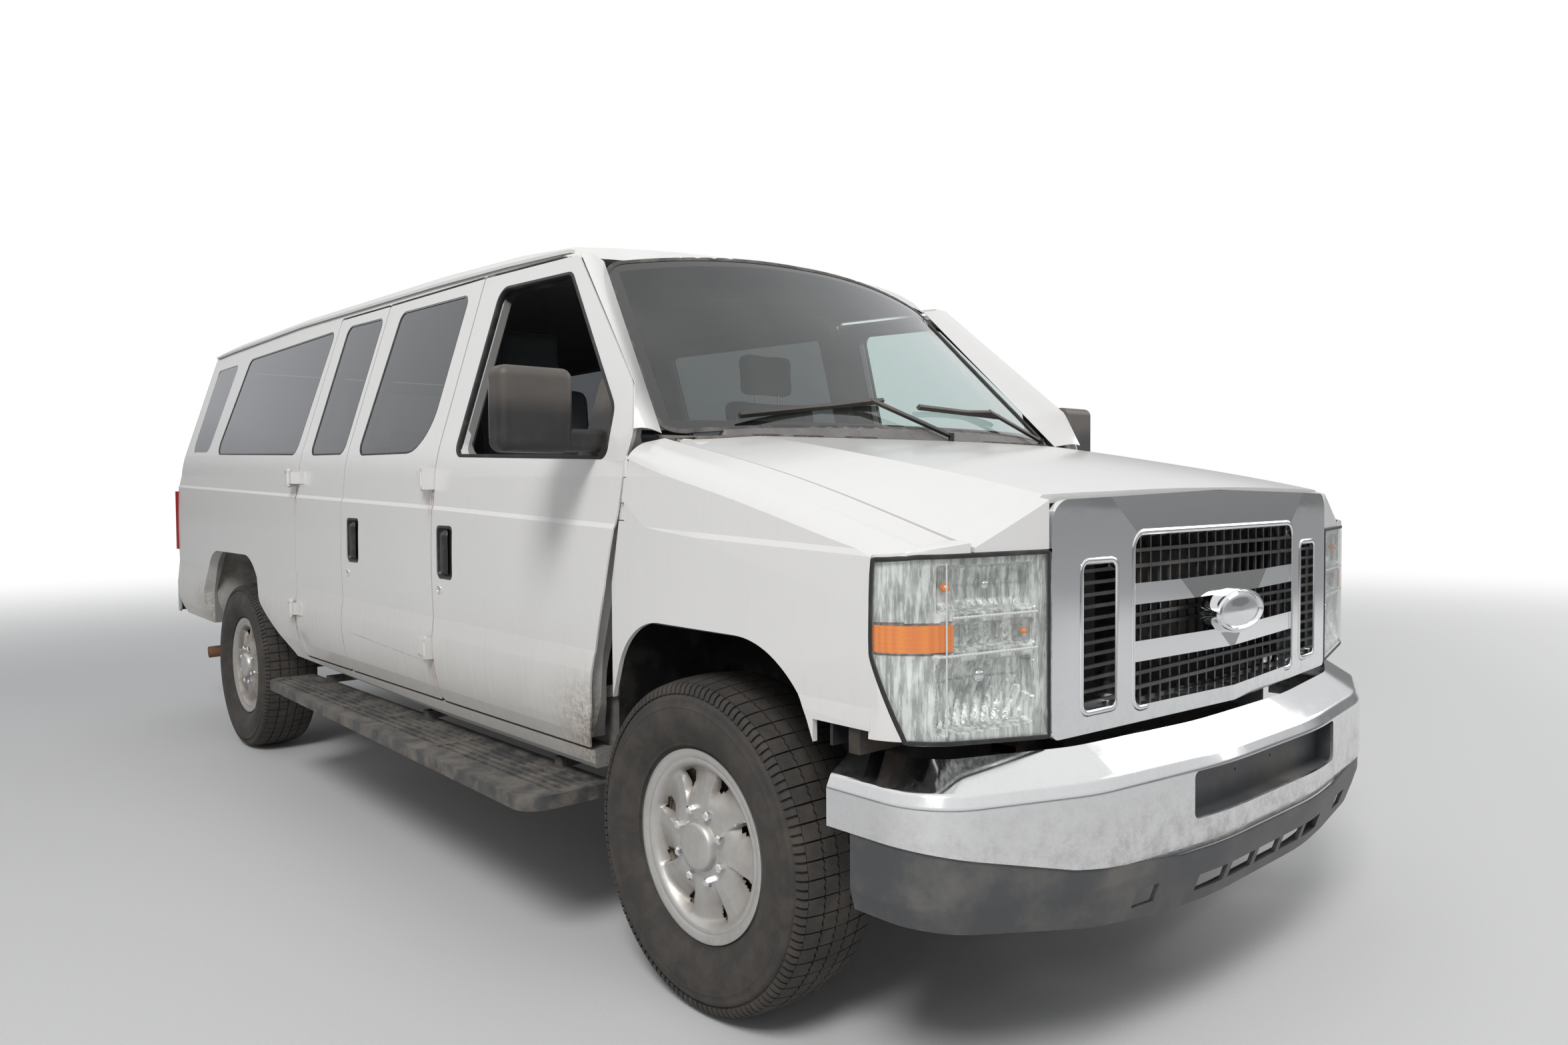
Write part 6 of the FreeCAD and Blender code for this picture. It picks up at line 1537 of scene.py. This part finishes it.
for sign, side in ((-1, "right"), (1, "left")):
    x = sign * SEAT_OUT
    ribbed = ((0, -128, 9), (0, 128, 9), (0, -44, 5), (0, 44, 5), (1, 150, 8))
    seated("seat_cushion_" + side, ((850, 880), (1380, 880), (1380, 1012), (850, 1018)),
           x - 216, x + 216, 22.0, ribbed, replace="front_seats")
    seated("seat_back_" + side, ((1430, 1000), (1530, 1556), (1424, 1556), (1306, 1004)),
           x - 214, x + 214, 20.0, ribbed, replace="front_seats")
    seated("seat_head_" + side, ((1535, 1592), (1545, 1758), (1458, 1758), (1444, 1592)),
           x - 122, x + 122, 12.0, (), 34.0, "front_seats", 22)
for k, (y, x0, x1) in enumerate(((2000, -300, 860), (2800, -300, 660), (3640, -650, 650))):
    width = (x1 - x0) / 2
    parts = tuple((0, width * share, 8) for share in (-0.34, 0.34)) + ((1, 120, 7),)
    seated("bench_cushion_%d" % (k + 1), ((y, 900), (y + 500, 900), (y + 500, 1024), (y, 1030)),
           x0 + 4, x1 - 4, 20.0, parts, replace="rear_benches")
    seated("bench_back_%d" % (k + 1), ((y + 500, 1010), (y + 590, 1496), (y + 494, 1496),
                                       (y + 384, 1014)),
           x0 + 4, x1 - 4, 18.0, parts, replace="rear_benches")
piece("seat_welts", welts.points, welts.faces, "seat_fabric", "body")

stalks = Heap()
for x in (-SEAT_OUT - 64, -SEAT_OUT + 64, SEAT_OUT - 64, SEAT_OUT + 64):
    shape = swept([at(x, 1484, z) for z in (1520, 1560, 1600, 1640)], [Vector((0, -1, 0))] * 4,
                  round_profile(6.0, 12), False)
    stalks.add(shape.points, shape.faces)
piece("head_stalks", stalks.points, stalks.faces, "chrome", "body")
print("seats made")

# %% [markdown]
# ## Handles and locks
# Each door has a black upright paddle in a shallow recess, and a small round lock below.
# The paddle is a rounded bar on a pivot, so it stands off the recess floor, which a ray
# finds. The locks are spun and copied by the tree that stands copies on points.

# %% Paddles
OUTSIDE = 1400.0              # a ray starts here, beyond the body's side


def paddle(name, node, body, sign, y0, y1, z0, z1):
    middle = (y0 + y1) / 2
    floor, _ = meets(node, at(sign * OUTSIDE, middle, (z0 + z1) / 2), (-sign, 0, 0))
    plate, bar = Heap(), Heap()
    edge = rounded(((y0 + 4, z0 + 4, 16), (y1 - 4, z0 + 4, 16), (y1 - 4, z1 - 4, 16),
                    (y0 + 4, z1 - 4, 16)), 4.0)
    centre = Vector(((y0 + y1) / 2, (z0 + z1) / 2))
    rows = []
    for share, lift in ((1.0, 13.0), (0.97, 13.5), (0.94, 12.5), (0.90, 4.0), (0.86, 1.6),
                        (0.4, 1.4), (0.01, 1.4)):
        rows.append([at(floor.x * 1000 + sign * lift, centre.x + (q.x - centre.x) * share,
                        centre.y + (q.y - centre.y) * share) for q in edge])
    plate.grid(rows, False, True)
    half, rows = 23.0, []
    for k in range(25):
        share = k / 24
        z = z0 + 12 + (z1 - z0 - 24) * share
        fall = min(1.0, math.sin(math.pi * min(max(share, 0.02), 0.98)) * 3.0)
        rows.append([at(floor.x * 1000 + sign * (3 + (7 + 8.5 * s) * fall),
                        middle + 6 + half * fall ** 0.3 * c, z)
                     for c, s in circle(20)])
    bar.grid(rows, False, True)
    bar.faces += [tuple(range(20)), tuple(range(24 * 20, 25 * 20))]
    piece(name + "_plate", plate.points, plate.faces, "black_plastic", body)
    piece(name, bar.points, bar.faces, "black_plastic", body)


paddle("handle_front_right", "front_door_right", "front_door_right", -1, 1153, 1265, 928, 1094)
paddle("handle_front_left", "front_door_left", "front_door_left", 1, 1153, 1265, 928, 1094)
paddle("handle_cargo", "cargo_front_door", "cargo_front_leaf", -1, 1907, 2022, 945, 1105)


LOCK = ((13, -1), (13, 1.6), (11.5, 3.0), (9, 3.2), (8, 1.6), (4, 1.5), (0.1, 1.5))
for name, node, body, sign, y, z in (
        ("lock_right", "front_door_right", "front_door_right", -1, 1246, 895),
        ("lock_left", "front_door_left", "front_door_left", 1, 1246, 895),
        ("lock_cargo", "cargo_front_door", "cargo_front_leaf", -1, 2014, 905)):
    spot = meets(node, at(sign * OUTSIDE, y, z), (-sign, 0, 0))
    studs(name, [spot], ringed(LOCK, 24), "chrome", body)
print("handles done")

# %% [markdown]
# ## Cowl slats
# The panel under the windshield is a grid of fine slats that let air in. One slat is a
# thin fin, and the tree stands it on points that rays drop onto the panel.

# %% Slats
def fin():
    heap = Heap()
    section = ((-1.6, -1.0), (-1.3, 3.2), (1.3, 3.2), (1.6, -1.0))
    rows = [[Vector((x, y, z)) / 1000 for x, z in section] for y in (-17, -15, 15, 17)]
    heap.grid(rows, False, True)
    heap.faces += [(0, 1, 2, 3), (12, 13, 14, 15)]
    return heap


spots = []
for k in range(-62, 63):
    x = k * 12.0
    for y in (118, 160, 202):
        hit, normal = meets("cowl_panel", at(x, y - x * x / 5200.0 * 0.55, 1500), (0, 0, -1))
        if hit is not None and normal.z > 0.6:
            spots.append((hit, normal))
studs("cowl_slats", spots, fin(), "cowl_plastic", "body")
print("slats", len(spots))

# %% [markdown]
# ## Mirror glass
# Each mirror's head is a solid shell. Its glass faces the rear, a little inside the rim,
# as a slightly crowned sheet with a thin wall.

# %% Mirror panes
PANE_CENTRE = Vector((1153, 1396))
for sign, side in ((-1, "right"), (1, "left")):
    edge = rounded(((1064, 1306, 24), (1242, 1306, 24), (1242, 1486, 24), (1064, 1486, 24)), 6.0)
    back, _ = meets("mirror_" + side, at(sign * 1152, 900, 1395), (0, -1, 0))
    heap = Heap()
    face = (back.y - AXLE) * 1000
    rows = []
    for share, lift in ((1.0, -3.0), (1.0, 1.0), (0.97, 1.8), (0.7, 2.3), (0.4, 2.7), (0.01, 2.9)):
        ring = [PANE_CENTRE.lerp(q, share) for q in edge]
        rows.append([at(sign * q.x, face + lift, q.y) for q in ring])
    heap.grid(rows, False, True)
    piece("mirror_pane_" + side, heap.points, heap.faces, "mirror_glass",
          "front_door_" + side, 30.0)

# %% [markdown]
# ## Floor, light and camera
# The van stands on a pale floor that turns to plain white far away. One large soft lamp
# plays the sun, high on the camera's left, a weaker one fills the far side, and the sky
# does the rest. Rays that see the background directly get white. Mirrored rays get a
# softer horizon, so that plated parts have something to show.

# %% Floor
FADE_FROM, WHITE_FROM = 4.5, 14.0      # distances at which the floor pales and is white


def floor_finish():
    f = Finish("floor_pale")
    flat = f.node("ShaderNodeVectorMath", {"operation": "LENGTH"}, {0: f.place}, 1)
    grit = f.noise(180.0, 3.0, 0.7)
    ground = f.shader(f.blend(grit, (0.56, 0.555, 0.55), (0.66, 0.655, 0.65)), 0.8)
    ray = f.node("ShaderNodeLightPath", out=0)
    white = f.node("ShaderNodeEmission", {}, {"Color": (1.0, 1.0, 1.0), "Strength": 1.0})
    return f.done(f.node("ShaderNodeMixShader", {}, {0: flat.ramp(FADE_FROM, WHITE_FROM) * ray,
                                                     1: ground, 2: white}))


def floor_disc(radius, parts):
    mesh = bpy.data.meshes.new("studio_floor")
    mesh.from_pydata([(radius * c, radius * s, 0.0) for c, s in circle(parts)], [],
                     [tuple(range(parts))])
    mesh.materials.append(floor_finish())
    floor = bpy.data.objects.new("studio_floor", mesh)
    bpy.context.scene.collection.objects.link(floor)
    return floor


floor_disc(60.0, 96)
print("floor laid")

# %% Sky and lamps
def sky():
    world = bpy.data.worlds.new("studio_sky")
    bpy.context.scene.world = world
    world.use_nodes = True
    tree = world.node_tree
    tree.nodes.clear()

    def add(kind, **inputs):
        made = tree.nodes.new(kind)
        for key, value in inputs.items():
            if hasattr(value, "links"):
                tree.links.new(value, made.inputs[key.replace("_", " ")])
            else:
                made.inputs[key.replace("_", " ")].default_value = value
        return made

    ray = add("ShaderNodeLightPath")
    way = add("ShaderNodeTexCoord")
    parts = add("ShaderNodeSeparateXYZ", Vector=way.outputs["Generated"])
    rise = tree.nodes.new("ShaderNodeValToRGB")
    tree.links.new(parts.outputs["Z"], rise.inputs[0])
    stops = rise.color_ramp.elements
    stops[0].position, stops[0].color = 0.0, (0.20, 0.20, 0.20, 1)
    stops[1].position, stops[1].color = 0.75, (1.0, 1.0, 1.0, 1)
    for place, tone in ((0.10, 0.26), (0.20, 0.70)):
        stops.new(place).color = (tone, tone * 1.01, tone * 1.03, 1)
    plain = add("ShaderNodeBackground", Color=(0.93, 0.96, 1.0, 1.0), Strength=0.45)
    seen = add("ShaderNodeBackground", Color=(1.0, 1.0, 1.0, 1.0), Strength=1.0)
    mirrored = add("ShaderNodeBackground", Strength=1.0)
    tree.links.new(rise.outputs[0], mirrored.inputs["Color"])
    glossy = tree.nodes.new("ShaderNodeMixShader")
    tree.links.new(ray.outputs["Is Glossy Ray"], glossy.inputs[0])
    tree.links.new(plain.outputs[0], glossy.inputs[1])
    tree.links.new(mirrored.outputs[0], glossy.inputs[2])
    direct = tree.nodes.new("ShaderNodeMath")
    direct.operation = "MAXIMUM"
    tree.links.new(ray.outputs["Is Camera Ray"], direct.inputs[0])
    tree.links.new(ray.outputs["Is Transmission Ray"], direct.inputs[1])
    last = tree.nodes.new("ShaderNodeMixShader")
    tree.links.new(direct.outputs[0], last.inputs[0])
    tree.links.new(glossy.outputs[0], last.inputs[1])
    tree.links.new(seen.outputs[0], last.inputs[2])
    end = tree.nodes.new("ShaderNodeOutputWorld")
    tree.links.new(last.outputs[0], end.inputs["Surface"])


def soft_lamp(name, place, target, size, power):
    lamp = bpy.data.lights.new(name, "AREA")
    lamp.shape, lamp.size, lamp.size_y, lamp.energy = "RECTANGLE", size[0], size[1], power
    held = bpy.data.objects.new(name, lamp)
    bpy.context.scene.collection.objects.link(held)
    held.location = place
    held.rotation_mode = "QUATERNION"
    held.rotation_quaternion = (Vector(target) - Vector(place)).to_track_quat("-Z", "Y")


sky()
KEY_POWER, FILL_POWER = 800, 260
soft_lamp("key", (-6.5, -6.0, 8.5), (0, -0.6, 0.9), (3.2, 3.2), KEY_POWER)
soft_lamp("fill", (7.5, -5.0, 5.0), (0, -0.5, 0.9), (5.0, 5.0), FILL_POWER)
print("light set")

# %% [markdown]
# ## Camera
# The view was worked out from straight edges of the van in the photograph: an eye at
# 1.20 m, level with the lamps' tops, turned 42 degrees from the van's length.

# %% Camera
def camera(eye, turn, tip, roll, focal_px, width_px):
    turn, tip, roll = (math.radians(v) for v in (turn, tip, roll))
    ahead = Vector((math.sin(turn) * math.cos(tip), math.cos(turn) * math.cos(tip),
                    math.sin(tip)))
    right = Vector((math.cos(turn), -math.sin(turn), 0.0))
    up = right.cross(ahead)
    right, up = (right * math.cos(roll) + up * math.sin(roll),
                 up * math.cos(roll) - right * math.sin(roll))
    data = bpy.data.cameras.new("view")
    data.sensor_fit, data.sensor_width = "HORIZONTAL", 36.0
    data.lens = focal_px / width_px * 36.0
    data.clip_start, data.clip_end = 0.05, 300.0
    held = bpy.data.objects.new("view", data)
    bpy.context.scene.collection.objects.link(held)
    held.matrix_world = Matrix.Translation(eye) @ Matrix((right, up, -ahead)).transposed().to_4x4()
    bpy.context.scene.camera = held
    return data


EYE = Vector((-2.444, -1.9415 + AXLE, 1.2046))
PHOTO_WIDTH, FOCAL_PIXELS = 2352, 1612.4
lens = camera(EYE, 42.14, -1.88, -0.40, FOCAL_PIXELS, PHOTO_WIDTH)
bpy.context.scene.view_settings.view_transform = "Standard"
print("camera with a lens of", round(lens.lens, 2), "mm")
